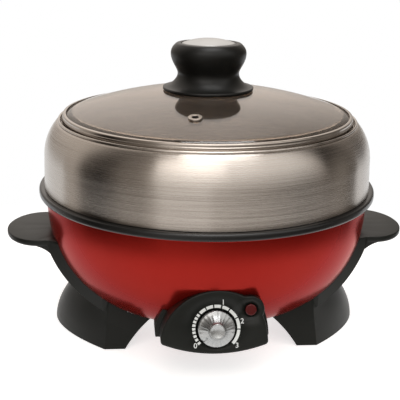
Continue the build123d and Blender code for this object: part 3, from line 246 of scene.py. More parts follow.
@dataclass(frozen=True)
class BrushedSteel(Finish):
    """Stainless steel brushed on a lathe: long, fine scratches that run round the pot.

    The scratches stretch reflections up and down into soft bands. They are drawn a little coarser
    than the real ones, so that they show at this size.
    """

    scratch_mm: float = 0.55
    scratch_length_mm: float = 90.0
    scratch_depth_mm: float = 0.012
    spread: Pair = (0.3, 0.7)
    stretch: float = 0.7

    def constants(self) -> dict[str, object]:
        """Metal with its gloss stretched across the scratches."""
        kept = {name: value for name, value in super().constants().items() if name != "IOR"}
        return kept | {"Anisotropic": self.stretch, "Anisotropic Rotation": 0.25}

    def pattern_space(self, tree: Tree) -> Socket:
        """Coordinates that run slowly round the pot and fast along its section.

        Args:
            tree: the material's node tree.

        Returns:
            The coordinates.
        """
        axes = add_node(tree, "SeparateXYZ", links={"Vector": super().pattern_space(tree)}).outputs
        flat = add_node(tree, "CombineXYZ", links={"X": axes["X"], "Y": axes["Y"]})
        radius = add_node(tree, "VectorMath", {"operation": "LENGTH"},
                          links={0: flat.outputs["Vector"]})
        along = add_node(tree, "Math", {"operation": "SUBTRACT"},
                         links={0: axes["Z"], 1: radius.outputs["Value"]})
        joined = add_node(tree, "CombineXYZ",
                          links={"X": axes["X"], "Y": axes["Y"], "Z": along.outputs["Value"]})
        long, fine = per_metre(self.scratch_length_mm), per_metre(self.scratch_mm)
        scaled = add_node(tree, "VectorMath", {"operation": "MULTIPLY"},
                          values={1: (long, long, fine)}, links={0: joined.outputs["Vector"]})
        return scaled.outputs["Vector"]

    def paint(self, tree: Tree, shader: bpy.types.Node) -> None:
        """Draw the scratches as bump, gloss and a little light and dark.

        Args:
            tree: the material's node tree.
            shader: its principled shader.
        """
        scratches = add_node(tree, "TexNoise", links={"Vector": self.pattern_space(tree)},
                             values={"Scale": 1.0, "Detail": 4.0, "Roughness": 0.6}).outputs["Fac"]
        self.join(tree, shader, (self.tint, self.colour), scratches, self.spread, scratches,
                  self.scratch_depth_mm)
        tangent = add_node(tree, "Tangent", {"direction_type": "RADIAL", "axis": "Z"})
        tree.links.new(tangent.outputs["Tangent"], shader.inputs["Tangent"])


@dataclass(frozen=True)
class RadialSteel(BrushedSteel):
    """Bright paint over fine ribs that run out from the middle of a leaning dial."""

    centre: Triple = DIAL_CENTRE
    lean: float = PANEL_TILT
    rib_step: float = 7.0
    rib_length_mm: float = 9.0

    def pattern_space(self, tree: Tree) -> Socket:
        """Coordinates that run fast round the dial and slowly out from its middle.

        Args:
            tree: the material's node tree.

        Returns:
            The coordinates.
        """
        moved = add_node(tree, "VectorMath", {"operation": "SUBTRACT"},
                         values={1: tuple(Vector(self.centre) * MM)},
                         links={0: Finish.pattern_space(self, tree)}).outputs["Vector"]
        lean = math.radians(self.lean)
        up = add_node(tree, "VectorMath", {"operation": "DOT_PRODUCT"},
                      values={1: (0.0, math.sin(lean), math.cos(lean))}, links={0: moved})
        axes = add_node(tree, "SeparateXYZ", links={"Vector": moved})
        flat = add_node(tree, "CombineXYZ",
                        links={"X": axes.outputs["X"], "Y": up.outputs["Value"]}).outputs["Vector"]
        radius = add_node(tree, "VectorMath", {"operation": "LENGTH"}, links={0: flat})
        around = add_node(tree, "VectorMath", {"operation": "NORMALIZE"}, links={0: flat})
        rim = add_node(tree, "VectorMath", {"operation": "SCALE"},
                       values={"Scale": 1.0 / math.radians(self.rib_step)},
                       links={0: around.outputs["Vector"]})
        out = add_node(tree, "Math", {"operation": "MULTIPLY"},
                       values={1: per_metre(self.rib_length_mm)}, links={0: radius.outputs["Value"]})
        outwards = add_node(tree, "CombineXYZ", links={"Z": out.outputs["Value"]})
        joined = add_node(tree, "VectorMath", {"operation": "ADD"},
                          links={0: rim.outputs["Vector"], 1: outwards.outputs["Vector"]})
        return joined.outputs["Vector"]


@dataclass(frozen=True)
class TemperedGlass(Finish):
    """Tempered glass: almost clear through, with a little of its own grey."""

    transmission: float = 0.96

    def constants(self) -> dict[str, object]:
        """Glass constants."""
        return super().constants() | {"Transmission Weight": self.transmission}


class Palette:
    """Every finish of the cooker, named for what the real one is and how it was made."""

    # Pressed steel, sprayed with enamel and stoved: deep red, glossy, hardly any orange peel.
    red_enamel = GlossEnamel("red_stoved_enamel", "8E1E17", "841812", 0.22, metallic=0.6, specular=0.32,
                             grain_mm=2.5, grain_depth_mm=0.004, patch_mm=60.0, roughness_swing=0.03)
    # Stainless sheet, spun and brushed on a lathe: fine lines round it and tall, soft reflections.
    brushed_steel = BrushedSteel("lathe_brushed_stainless", "D2CBC4", "958D85", 0.26, metallic=1.0,
                                 roughness_swing=0.05, stretch=1.0, scratch_mm=0.7, scratch_length_mm=110.0,
                                 scratch_depth_mm=0.02)
    # Stainless strip, rolled and buffed: smoother and a little darker.
    rim_steel = BrushedSteel("polished_rim_stainless", "B4ACA4", "9A928A", 0.22, metallic=1.0,
                             roughness_swing=0.03, stretch=0.4, scratch_depth_mm=0.003)
    # Steel, turned and polished: clear reflections.
    bright_steel = Finish("bright_polished_steel", "CFCFCE", "C4C4C3", 0.1, metallic=1.0,
                          grain_depth_mm=0.002, roughness_swing=0.03)
    # Pressed pan, sprayed with a release coat and baked: dull black with a fine pebble.
    non_stick = Finish("non_stick_coating", "17171A", "1E1E20", 0.35, coat=0.2, grain_mm=0.9,
                       grain_depth_mm=0.02, patch_mm=8.0)
    # The same coat where the flange was pressed smooth: black with a soft shine.
    flange_coating = Finish("gloss_black_pan_coating", "0E0E0E", "131313", 0.28, specular=0.35, coat=0.1,
                            grain_mm=1.5, grain_depth_mm=0.004)
    # Glass, bent and tempered: clear, greyish brown, with sharp reflections.
    glass = TemperedGlass("grey_tempered_glass", "CFC0B2", "C5B6A8", 0.04, grain_depth_mm=0.0015,
                          grain_mm=20.0, patch_mm=60.0, roughness_swing=0.02)
    # Phenolic, moulded in an etched tool: black, dull, with a fine grain drawn coarse enough to show.
    moulded_black = Finish("moulded_black_phenolic", "10120F", "151714", 0.4, specular=0.19, grain_mm=1.1,
                           grain_depth_mm=0.012, patch_mm=25.0, roughness_swing=0.05)
    # Phenolic, moulded in a smooth tool: satin black.
    knob_black = Finish("satin_black_phenolic", "0F0F0D", "141413", 0.38, specular=0.22, grain_mm=1.5,
                        grain_depth_mm=0.006)
    # Plastic, sprayed with aluminium paint: pale silver with a fine sparkle.
    metallic_paint = Finish("silver_metallic_paint", "B4B6B6", "A2A4A4", 0.3, metallic=0.85, grain_mm=0.35,
                            grain_depth_mm=0.006)
    # The same paint over moulded ribs: light and dark rays that run out from the middle.
    dial_paint = RadialSteel("silver_ribbed_dial", "B6B8B8", "7E8080", 0.3, metallic=0.9, stretch=0.0,
                             roughness_swing=0.08, scratch_depth_mm=0.05)
    # Pad-printed ink: flat and a little grey.
    ink = Finish("printed_white_ink", "D8DCDB", "CDD2D1", 0.5, grain_mm=0.4, grain_depth_mm=0.003)
    # Acrylic, moulded clear: very dark red while the lamp is off, with sharp glints.
    red_lens = Finish("clear_red_acrylic", "4E0809", "3C0607", 0.14, specular=0.35, grain_depth_mm=0.001)
    # Rubber and silicone, moulded: even and without shine.
    rubber = Finish("black_rubber", "141414", "1B1B1A", 0.7, grain_mm=0.7, grain_depth_mm=0.02)
    silicone = Finish("white_silicone", "D9D6CE", "CBC8C0", 0.5)
    # Steel, zinc plated: pale grey with soft reflections.
    zinc = Finish("zinc_plated_steel", "B4B4AE", "A3A3A0", 0.28, metallic=1.0, grain_depth_mm=0.004)
    # Aluminium, left as cast: grey and grainy.
    cast_aluminium = Finish("cast_aluminium", "B9B9B8", "A8A8A8", 0.42, metallic=1.0, grain_depth_mm=0.03)
    # Steel sheath, oxidised in use: brownish and dull.
    oxidised = Finish("oxidised_heater_sheath", "4A443F", "5A5149", 0.5, metallic=0.8)
    # Copper, drawn to tube: warm and smooth.
    copper = Finish("drawn_copper", "B87B55", "A3684A", 0.3, metallic=1.0)
    # Lamp glass: pale orange and glossy.
    lamp_glass = Finish("neon_lamp_glass", "D98A6A", "C97C5F", 0.1, coat=0.3)
    # Steatite, pressed and glazed: cream with a soft gloss.
    ceramic = Finish("glazed_steatite", "DCD7CA", "CFCABD", 0.45)
    # Paper laminate, pressed with phenolic: brown and dull.
    laminate = Finish("paper_phenolic", "7B6A4E", "6E5E45", 0.5)
    # Silicone sleeves, extruded: one even colour each.
    brown_wire = Finish("brown_silicone_sleeve", "4A2A18", "3E2314", 0.55, grain_mm=0.5)
    blue_wire = Finish("blue_silicone_sleeve", "27509A", "214689", 0.55, grain_mm=0.5)
    green_wire = Finish("green_silicone_sleeve", "4E8A2D", "447B27", 0.55, grain_mm=0.5)


def rounded(section: Section, steps: int = 4, share: float = 0.48) -> list[Pair]:
    """Round the corners of a closed section.

    Args:
        section: the section.
        steps: pieces in each rounded corner.
        share: most of a neighbouring side that a corner takes.

    Returns:
        Points of radius and height.
    """
    made: list[Pair] = []
    for i, (radius, height, *corner) in enumerate(section):
        if not corner:
            made.append((radius, height))
            continue
        here = Vector((radius, height))
        before = Vector(section[i - 1][:2]) - here
        after = Vector(section[(i + 1) % len(section)][:2]) - here
        reach = min(corner[0], before.length * share, after.length * share)
        start, end = here + before.normalized() * reach, here + after.normalized() * reach
        for k in range(steps + 1):
            t = k / steps
            spot = start * (1 - t) ** 2 + here * 2 * t * (1 - t) + end * t ** 2
            made.append((spot.x, spot.y))
    return made


def turned(section: Section, facets: int = 192) -> bmesh.types.BMesh:
    """Spin a closed half-section about the pot's axis.

    Args:
        section: the half-section.
        facets: facets round the piece.

    Returns:
        A closed bmesh in metres.
    """
    work = bmesh.new()
    points = rounded(section)
    dots = [work.verts.new((radius * MM, 0.0, height * MM)) for radius, height in points]
    edges = []
    for i, dot in enumerate(dots):
        following = (i + 1) % len(dots)
        if points[i][0] > 0 or points[following][0] > 0:
            edges.append(work.edges.new((dot, dots[following])))
    bmesh.ops.spin(work, geom=dots + edges, cent=(0, 0, 0), axis=(0, 0, 1), angle=math.tau, steps=facets,
                   use_merge=True)
    bmesh.ops.remove_doubles(work, verts=work.verts, dist=WELD)
    bmesh.ops.recalc_face_normals(work, faces=work.faces)
    return work


def add_piece(
    work: bmesh.types.BMesh, name: str, finish: Finish, body: Body, sharp: float = 35.0,
) -> bpy.types.Object:
    """Turn a bmesh into a piece that rides on a body.

    Args:
        work: the shape in metres; it is freed.
        name: the piece's name.
        finish: its finish.
        body: the body that it moves with.
        sharp: edges steeper than this many degrees stay sharp.

    Returns:
        The new object.
    """
    mesh = bpy.data.meshes.new(name)
    work.to_mesh(mesh)
    work.free()
    for face in mesh.polygons:
        face.use_smooth = True
    mesh.set_sharp_from_angle(angle=math.radians(sharp))
    mesh.materials.append(finish.build())
    piece = bpy.data.objects.new(name, mesh)
    bpy.context.scene.collection.objects.link(piece)
    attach(piece, body.value)
    LOG.info("made %s on %s", name, body.value)
    return piece


def dress(node: str, finish: Finish) -> None:
    """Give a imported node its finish.

    Args:
        node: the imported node.
        finish: its finish.
    """
    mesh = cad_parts[node].data
    mesh.materials.clear()
    mesh.materials.append(finish.build())
    LOG.info("dressed %s", node)


def stand_in(work: bmesh.types.BMesh, name: str, node: str, finish: Finish, body: Body, sharp: float) -> None:
    """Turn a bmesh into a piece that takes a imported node's place.

    Args:
        work: the shape in metres; it is freed.
        name: the piece's name.
        node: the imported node.
        finish: the piece's finish.
        body: the body that it moves with.
        sharp: edges steeper than this many degrees stay sharp.
    """
    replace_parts(add_piece(work, name, finish, body, sharp), node)


def softened(node: str, finish: Finish, body: Body, edge_mm: float = 0.0, sharp: float = 30.0) -> None:
    """Stand a merged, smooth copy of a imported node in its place, with its sharp edges eased.

    Args:
        node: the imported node.
        finish: its finish.
        body: the body that it moves with.
        edge_mm: width of the eased edges; 0 leaves them sharp.
        sharp: edges steeper than this many degrees count as sharp.
    """
    work = bmesh.new()
    work.from_mesh(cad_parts[node].data)
    bmesh.ops.remove_doubles(work, verts=work.verts, dist=2 * WELD)
    bmesh.ops.dissolve_degenerate(work, edges=work.edges, dist=WELD)
    piece = add_piece(work, node + "_finished", finish, body, sharp)
    if edge_mm:
        ease = piece.modifiers.new("eased_edges", "BEVEL")
        ease.width = edge_mm * MM
        ease.segments = 2
        ease.limit_method = "ANGLE"
        ease.angle_limit = math.radians(sharp)
        ease.harden_normals = True
    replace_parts(piece, node)


def quarter_ellipse(reach: float, drop: float, powers: Pair, centre: Pair, count: int = 28) -> list[Pair]:
    """Side of a bowl or pan as a quarter superellipse, from its top outwards edge to its floor.

    Args:
        reach: how far out it goes.
        drop: how far down it goes.
        powers: its two exponents.
        centre: radius and height that it turns about.
        count: points in the run.

    Returns:
        Points of radius and height.
    """
    made = []
    for i in range(count):
        angle = math.pi / 2 * i / (count - 1)
        out = reach * math.cos(angle) ** (2 / powers[0]) if i < count - 1 else 0.0
        made.append((centre[0] + out, centre[1] - drop * math.sin(angle) ** (2 / powers[1])))
    return made


def ellipse_side(centre: Pair, reach: Pair, turns: Pair, count: int) -> list[Pair]:
    """Points of an elliptical arc in the half-section.

    Args:
        centre: radius and height of its centre.
        reach: its two half-axes, out and up.
        turns: angle where it starts and ends, in degrees, 0 pointing out and 90 up.
        count: points in it.

    Returns:
        Points of radius and height.
    """
    made = []
    for i in range(count):
        angle = math.radians(turns[0] + (turns[1] - turns[0]) * i / (count - 1))
        made.append((centre[0] + reach[0] * math.cos(angle), centre[1] + reach[1] * math.sin(angle)))
    return made


@dataclass
class Bowl:
    """Red enamelled housing bowl, with the base plate and everything screwed under it."""

    rim_radius: float = RIM_RADIUS
    rim_z: float = 117.0
    rim_rise: float = 3.4
    bottom_radius: float = 70.0
    bottom_z: float = 21.1
    opening: float = 50.0
    wall: float = 0.9
    bead: float = 1.0
    bead_drop: float = 0.1
    bead_turns: Pair = (60.0, -60.0)
    bead_points: int = 9
    hem_corner: float = 0.3
    side_points: int = 40
    powers: Pair = (1.65, 2.38)
    screws: tuple[str, ...] = (
        "handle_screws", "foot_screws", "base_screws", "standoff_screws", "box_screws", "cover_screws",
        "bracket_screws", "clip_screws", "terminal_screw", "earth_screw",
    )

    def build(self) -> None:
        """Turn the bowl, and dress its plate, screws and cord gland."""
        reach, drop = self.rim_radius - self.bottom_radius, self.rim_z - self.bottom_z
        centre, top = (self.bottom_radius, self.rim_z), self.rim_z + self.rim_rise
        outside = quarter_ellipse(reach, drop, self.powers, centre, self.side_points)
        inside = quarter_ellipse(reach - self.wall, drop - self.wall, self.powers, centre, self.side_points)
        bead_centre = (self.rim_radius - self.bead / 2, self.rim_z - self.bead - self.bead_drop)
        section = [
            *ellipse_side(bead_centre, (self.bead, self.bead), self.bead_turns, self.bead_points),
            *(spot for spot in outside if spot[1] < bead_centre[1] - self.bead),
            (self.opening, self.bottom_z),
            (self.opening, self.bottom_z + self.wall),
            *inside[::-1],
            (self.rim_radius - self.wall, top, self.hem_corner),
            (self.rim_radius, top, self.hem_corner),
            (self.rim_radius, self.rim_z),
        ]
        stand_in(turned(section), "bowl_turned", "housing_bowl", Palette.red_enamel, Body.BASE, sharp=40.0)
        dress("base_plate", Palette.zinc)
        for node in self.screws:
            dress(node, Palette.zinc)
        softened("cord_gland", Palette.rubber, Body.BASE, edge_mm=0.4)


@dataclass
class SideMouldings:
    """The two black mouldings, each a handle, a strap round the bowl and a hollow foot."""

    edge_mm: float = 0.7
    pad_edge_mm: float = 0.2

    def build(self) -> None:
        """Finish both mouldings and the rubber pads under them."""
        for node in ("left_handle_foot", "right_handle_foot"):
            softened(node, Palette.moulded_black, Body.BASE, edge_mm=self.edge_mm, sharp=28.0)
        softened("foot_pads", Palette.rubber, Body.BASE, edge_mm=self.pad_edge_mm)


@dataclass
class ControlPanel:
    """Leaning panel on the front, with its printed scale, numbers and lamp."""

    centre: Triple = DIAL_CENTRE
    tilt: float = PANEL_TILT
    scale_outer: float = 18.3
    scale_inner: float = 15.9
    ink_height: float = 0.06
    squares: tuple[float, ...] = (-130.5, -120.0, -110.0, -100.0, -91.0, -81.5, -72.0, -62.5, -53.0)
    square_span: float = 6.4
    mark_step: float = 3.0
    dashes: tuple[Pair, ...] = (
        (-45.5, -28.5), (-25.5, -8.5), (-5.0, 11.5), (15.5, 33.0), (36.5, 61.5), (64.5, 91.0), (94.0, 133.0),
    )
    numbers: tuple[tuple[str, float, float], ...] = (
        ("0", -15.8, -13.2), ("1", 5.2, 19.9), ("2", 19.6, 5.3), ("3", 15.8, -13.4),
    )
    number_height: float = 4.0
    font_share: float = 1.4
    number_swell: float = 0.05
    edge_mm: float = 0.4

    def place(self) -> Matrix:
        """Lean the panel's plane as it stands on the cooker.

        Returns:
            Matrix from the panel, in metres to the right, up and out, to the frame.
        """
        lean = math.radians(self.tilt)
        turn = Matrix(((1, 0, 0), (0, math.sin(lean), -math.cos(lean)), (0, math.cos(lean), math.sin(lean))))
        return Matrix.Translation(Vector(self.centre) * MM) @ turn.to_4x4()

    def mark(self, work: bmesh.types.BMesh, start: float, end: float) -> None:
        """Add one raised printed mark of the ring round the dial.

        Args:
            work: bmesh that gets the mark, flat on its own ground plane.
            start: angle clockwise from the top where it starts, in degrees.
            end: angle where it ends.
        """
        section = [work.verts.new(Vector((0, radius, height)) * MM) for radius, height in (
            (self.scale_inner, 0.0), (self.scale_outer, 0.0),
            (self.scale_outer, self.ink_height), (self.scale_inner, self.ink_height))]
        face = work.faces.new(section)
        turn = Matrix.Rotation(-math.radians(start), 3, "Z")
        bmesh.ops.rotate(work, verts=section, cent=(0, 0, 0), matrix=turn)
        steps = max(2, round((end - start) / self.mark_step))
        bmesh.ops.spin(work, geom=[face, *face.edges, *section], cent=(0, 0, 0), axis=(0, 0, -1),
                       angle=math.radians(end - start), steps=steps)

    def build_scale(self) -> None:
        """Make the squares and dashes round the dial."""
        work = bmesh.new()
        for angle in self.squares:
            self.mark(work, angle - self.square_span / 2, angle + self.square_span / 2)
        for start, end in self.dashes:
            self.mark(work, start, end)
        bmesh.ops.recalc_face_normals(work, faces=work.faces)
        bmesh.ops.transform(work, matrix=self.place(), verts=work.verts)
        add_piece(work, "dial_scale", Palette.ink, Body.BASE)

    def build_numbers(self) -> None:
        """Make the plain numbers beside the scale."""
        work = bmesh.new()
        for text, right, up in self.numbers:
            curve = bpy.data.curves.new("number_" + text, "FONT")
            curve.body = text
            curve.size = self.number_height * self.font_share * MM
            curve.align_x = "CENTER"
            curve.align_y = "CENTER"
            curve.extrude = self.ink_height * MM / 2
            curve.offset = self.number_swell * MM
            writer = bpy.data.objects.new("number_" + text, curve)
            mesh = bpy.data.meshes.new_from_object(writer)
            mesh.transform(Matrix.Translation(Vector((right, up, self.ink_height / 2)) * MM))
            work.from_mesh(mesh)
            bpy.data.objects.remove(writer)
            bpy.data.meshes.remove(mesh)
        bmesh.ops.transform(work, matrix=self.place(), verts=work.verts)
        add_piece(work, "dial_numbers", Palette.ink, Body.BASE)

    def build(self) -> None:
        """Finish the cover and box, and print the scale."""
        softened("control_cover", Palette.moulded_black, Body.BASE, sharp=35.0)
        softened("control_box", Palette.moulded_black, Body.BASE, edge_mm=self.edge_mm, sharp=35.0)
        softened("lamp_lens", Palette.red_lens, Body.BASE, sharp=40.0)
        dress("neon_lamp", Palette.lamp_glass)
        self.build_scale()
        self.build_numbers()


@dataclass
class Dial:
    """Silver thermostat dial on its spindle, with the thermostat behind it."""

    radius: float = 14.0
    low: float = -0.9
    edge: float = 2.2
    shoulder_radius: float = 13.2
    shoulder: float = 3.0
    boss_radius: float = 5.6
    boss_foot: float = 8.6
    height: float = 10.2
    dish: float = 1.3
    flare: float = 1.35
    flutes: int = 24
    flute_depth: float = 0.14
    flute_from: float = 0.6
    flute_fades: Pair = (1.2, 1.5)
    flank_points: int = 16
    dish_points: int = 10
    facets: int = 288
    boss_gap: float = 1.0
    boss_lip: float = 0.4
    boss_slope: float = 0.5
    lip_corner: float = 0.2
    corner: float = 0.3
    pointer_angle: float = -130.5
    pointer_width: float = 1.5
    pointer_depth: float = 0.8
    pointer_from: float = 9.8

    def section(self) -> Section:
        """Draw the dial's half-section: a flank that flares up to a dished boss.

        Returns:
            The half-section.
        """
        reach = self.shoulder_radius - self.boss_radius - self.boss_gap
        rise = self.boss_foot - self.shoulder
        climb = [i / self.flank_points for i in range(self.flank_points + 1)]
        hollow = self.boss_radius - self.boss_lip
        inwards = [hollow * (1 - i / self.dish_points) for i in range(self.dish_points + 1)]
        return [
            (0, self.low),
            (self.radius, self.low),
            (self.radius, self.edge, self.corner),
            *((self.shoulder_radius - reach * t, self.shoulder + rise * t ** self.flare) for t in climb),
            (self.boss_radius + self.boss_lip, self.height - self.boss_slope, self.lip_corner),
            (self.boss_radius, self.height, self.corner),
            *((r, self.height - self.dish * (1 - (r / hollow) ** 2)) for r in inwards),
        ]

    def carve(self, work: bmesh.types.BMesh) -> None:
        """Press the flutes and the pointer's groove into the flank.

        Args:
            work: the turned dial, still upright.
        """
        aim = math.radians(self.pointer_angle)
        pointer, inner = Vector((math.sin(aim), math.cos(aim))), self.boss_radius + self.flute_from
        for vert in work.verts:
            spot = Vector(vert.co[:2]) / MM
            if vert.co.z < self.edge * MM or spot.length < inner:
                continue
            at_rim, at_boss = self.flute_fades
            share = min(1.0, (self.radius - spot.length) / at_rim, (spot.length - inner) / at_boss)
            wave = 0.5 - 0.5 * math.cos(self.flutes * math.atan2(spot.y, spot.x))
            vert.co.z -= self.flute_depth * max(0.0, share) * wave * MM
            aside = abs(spot.x * pointer.y - spot.y * pointer.x)
            if spot.dot(pointer) > self.pointer_from and aside < self.pointer_width / 2:
                vert.co.z -= self.pointer_depth * MM

    def build(self) -> None:
        """Turn and flute the dial, and finish what it sits on."""
        work = turned(self.section(), self.facets)
        self.carve(work)
        bmesh.ops.transform(work, matrix=ControlPanel().place(), verts=work.verts)
        stand_in(work, "dial_turned", "dial", Palette.dial_paint, Body.DIAL, sharp=50.0)
        dress("dial_shaft", Palette.bright_steel)
        dress("thermostat", Palette.laminate)
        dress("thermostat_bracket", Palette.zinc)


@dataclass
class Heater:
    """Cast heater plate with its element, reflector tray, sensor and wires."""

    finishes: tuple[tuple[Finish, tuple[str, ...]], ...] = (
        (Palette.cast_aluminium, ("heater_plate",)),
        (Palette.oxidised, ("heating_element",)),
        (Palette.bright_steel, ("reflector_tray",)),
        (Palette.zinc, ("standoffs", "sensor_clip")),
        (Palette.copper, ("sensor_bulb", "capillary")),
        (Palette.ceramic, ("thermal_fuse", "terminal_block")),
        (Palette.brown_wire, ("live_wire", "heater_wire")),
        (Palette.blue_wire, ("neutral_wire", "fuse_lead")),
        (Palette.green_wire, ("earth_wire",)),
    )

    def build(self) -> None:
        """Finish every piece under the pan."""
        for finish, nodes in self.finishes:
            for node in nodes:
                softened(node, finish, Body.BASE, sharp=35.0)


@dataclass
class CookingPan:
    """Black coated pan with a thick rolled flange."""

    rim_radius: float = RIM_RADIUS
    seat_z: float = 120.7
    flange_radius: float = 144.0
    flange_thickness: float = 2.5
    lip_gap: float = 0.6
    lip_low: float = 117.3
    wall: float = 2.0
    side_gap: float = 7.0
    bottom_z: float = 46.0
    bottom_radius: float = 92.0
    powers: Pair = (2.0, 2.6)
    mouth_corner: float = 1.2
    flange_corner: float = 2.4
    lip_corner: float = 1.8
    corner: float = 0.5
    coat_step: float = 0.5

    def build(self) -> None:
        """Turn the pan, and give its flange the glossier coat."""
        outer = self.rim_radius - self.side_gap
        reach, drop = outer - self.bottom_radius, self.seat_z - self.bottom_z
        centre, top = (self.bottom_radius, self.seat_z), self.seat_z + self.flange_thickness
        section = [
            *quarter_ellipse(reach, drop, self.powers, centre),
            (0, self.bottom_z),
            (0, self.bottom_z + self.wall),
            *quarter_ellipse(reach - self.wall, drop - self.wall, self.powers, centre)[::-1],
            (outer - self.wall, top, self.mouth_corner),
            (self.flange_radius, top, self.flange_corner),
            (self.flange_radius, self.lip_low, self.lip_corner),
            (self.rim_radius + self.lip_gap, self.lip_low, self.corner),
            (self.rim_radius + self.lip_gap, self.seat_z, self.corner),
        ]
        pan = add_piece(turned(section), "pan_turned", Palette.non_stick, Body.PAN)
        pan.data.materials.append(Palette.flange_coating.build())
        for face in pan.data.polygons:
            if Vector(face.center[:2]).length > (outer + self.coat_step) * MM:
                face.material_index = 1
        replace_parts(pan, "inner_pan")


@dataclass
class SteamRing:
    """Brushed steel ring that stands on the pan's flange and narrows to the lid."""

    base_z: float = 123.5
    base_radius: float = 139.4
    neck_radius: float = 138.7
    shoulder_z: float = 150.0
    mouth_radius: float = 126.2
    mouth_z: float = 179.5
    turn: float = 0.79
    wall: float = 0.8
    bead: float = 1.1
    seat_z: float = 175.0
    seat_width: float = 8.0
    fold: float = 0.6
    spigot_radius: float = 128.2
    spigot_low: float = 120.7
    bead_turns: Pair = (-55.0, 180.0)
    bead_points: int = 13
    side_points: int = 22
    seat_corner: float = 0.5
    spigot_corner: float = 0.6
    corner: float = 0.3

    def side(self, inset: float) -> list[Pair]:
        """Draw the shoulder from its foot to the mouth.

        Args:
            inset: how far it is drawn in from the outside.

        Returns:
            Points of radius and height.
        """
        made = []
        reach, climb = self.neck_radius - self.mouth_radius, self.mouth_z - self.shoulder_z
        for i in range(self.side_points):
            turn = self.turn * i / (self.side_points - 1)
            out = reach * (1 - math.cos(turn)) / (1 - math.cos(self.turn))
            up = climb * math.sin(turn) / math.sin(self.turn)
            made.append((self.neck_radius - out - inset * math.cos(turn),
                         self.shoulder_z + up - inset * math.sin(turn)))
        return made

    def build(self) -> None:
        """Turn the ring, with a rolled bead round its mouth."""
        outer, inner = self.side(0.0), self.side(self.wall)
        lip = self.mouth_radius - self.wall - self.fold
        bead_centre = (self.mouth_radius - self.bead / 2, self.mouth_z)
        section = [
            (self.base_radius, self.base_z, self.corner),
            *outer[:-1],
            *ellipse_side(bead_centre, (self.bead, self.bead), self.bead_turns, self.bead_points),
            (lip, self.seat_z, self.seat_corner),
            (lip - self.seat_width, self.seat_z, self.corner),
            (lip - self.seat_width, self.seat_z - self.wall, self.corner),
            (lip + self.wall, self.seat_z - self.wall),
            (lip + self.wall, inner[-1][1]),
            *inner[-2::-1],
            (self.base_radius - self.wall, self.base_z + self.wall),
            (self.spigot_radius - self.wall, self.base_z + self.wall, self.spigot_corner),
            (self.spigot_radius - self.wall, self.spigot_low, self.corner),
            (self.spigot_radius, self.spigot_low, self.corner),
            (self.spigot_radius, self.base_z, self.corner),
        ]
        stand_in(turned(section), "ring_turned", "steam_ring", Palette.brushed_steel, Body.RING, sharp=50.0)


@dataclass
class GlassLid:
    """Domed glass lid in a crimped steel rim, with its vent."""

    rim_radius: float = 123.0
    rim_low: float = 175.3
    rim_top: float = 184.9
    rim_wall: float = 0.6
    crimp: float = 1.6
    glass_radius: float = 121.4
    glass_edge: float = 184.0
    glass_top: float = 205.5
    thickness: float = 4.0
    sphere: float = 353.49
    gap: float = 0.03
    roll_height: float = 2.6
    roll_step: float = 0.5
    foot_width: float = 3.0
    foot_rise: float = 0.8
    seam_corner: float = 1.1
    roll_corner: float = 1.2
    roll_crown: float = 0.3
    fold_width: float = 1.0
    fold_corner: float = 0.9
    lip_corner: float = 0.4
    skirt_drop: float = 1.4
    skirt_corner: float = 0.5
    corner: float = 0.3
    vent_edge_mm: float = 0.3

    def height(self, radius: float, below: float = 0.0) -> float:
        """Height of the dome, or of a surface a distance below it, at a radius."""
        inner = self.sphere - below
        return self.glass_top - self.sphere + math.sqrt(inner ** 2 - radius ** 2)

    def build(self) -> None:
        """Turn the rim and finish the glass and the small pieces of the lid."""
        lip, pocket = self.glass_radius - self.crimp, self.glass_radius + self.gap
        top, low = self.height(lip) + self.gap, self.height(lip, self.thickness) - self.gap
        low_edge = self.height(self.glass_radius, self.thickness) - self.gap
        skirt, roll = self.rim_radius - self.rim_wall, self.rim_radius - self.roll_step
        seam_z, foot_z = self.rim_top - self.roll_height, self.rim_low + self.foot_rise
        section = [
            (self.rim_radius, self.rim_low, self.corner),
            (self.rim_radius, seam_z, self.seam_corner),
            (roll, seam_z + self.roll_crown, self.corner),
            (roll, self.rim_top, self.roll_corner),
            (self.glass_radius - self.fold_width, self.rim_top + self.roll_crown, self.fold_corner),
            (lip, top + self.rim_wall, self.lip_corner),
            (lip, top),
            (pocket, self.glass_edge + self.gap),
            (pocket, low_edge),
            (lip, low),
            (lip, low - self.rim_wall, self.corner),
            (skirt, low_edge - self.skirt_drop, self.skirt_corner),
            (skirt, foot_z, self.corner),
            (self.rim_radius - self.foot_width, foot_z),
            (self.rim_radius - self.foot_width, self.rim_low),
        ]
        stand_in(turned(section), "lid_rim_turned", "lid_rim", Palette.rim_steel, Body.LID, sharp=50.0)
        softened("lid_glass", Palette.glass, Body.LID, sharp=40.0)
        softened("vent_eyelet", Palette.rim_steel, Body.LID, edge_mm=self.vent_edge_mm)
        softened("inner_seal", Palette.silicone, Body.LID)
        softened("knob_seal", Palette.silicone, Body.LID)
        softened("steel_washer", Palette.zinc, Body.LID)
        dress("knob_screw", Palette.zinc)


@dataclass
class Knob:
    """Satin black knob with a silver cap."""

    sharp: float = 50.0

    def build(self) -> None:
        """Finish the knob and its cap."""
        softened("knob", Palette.knob_black, Body.LID, sharp=self.sharp)
        softened("knob_cap", Palette.metallic_paint, Body.LID, sharp=self.sharp)


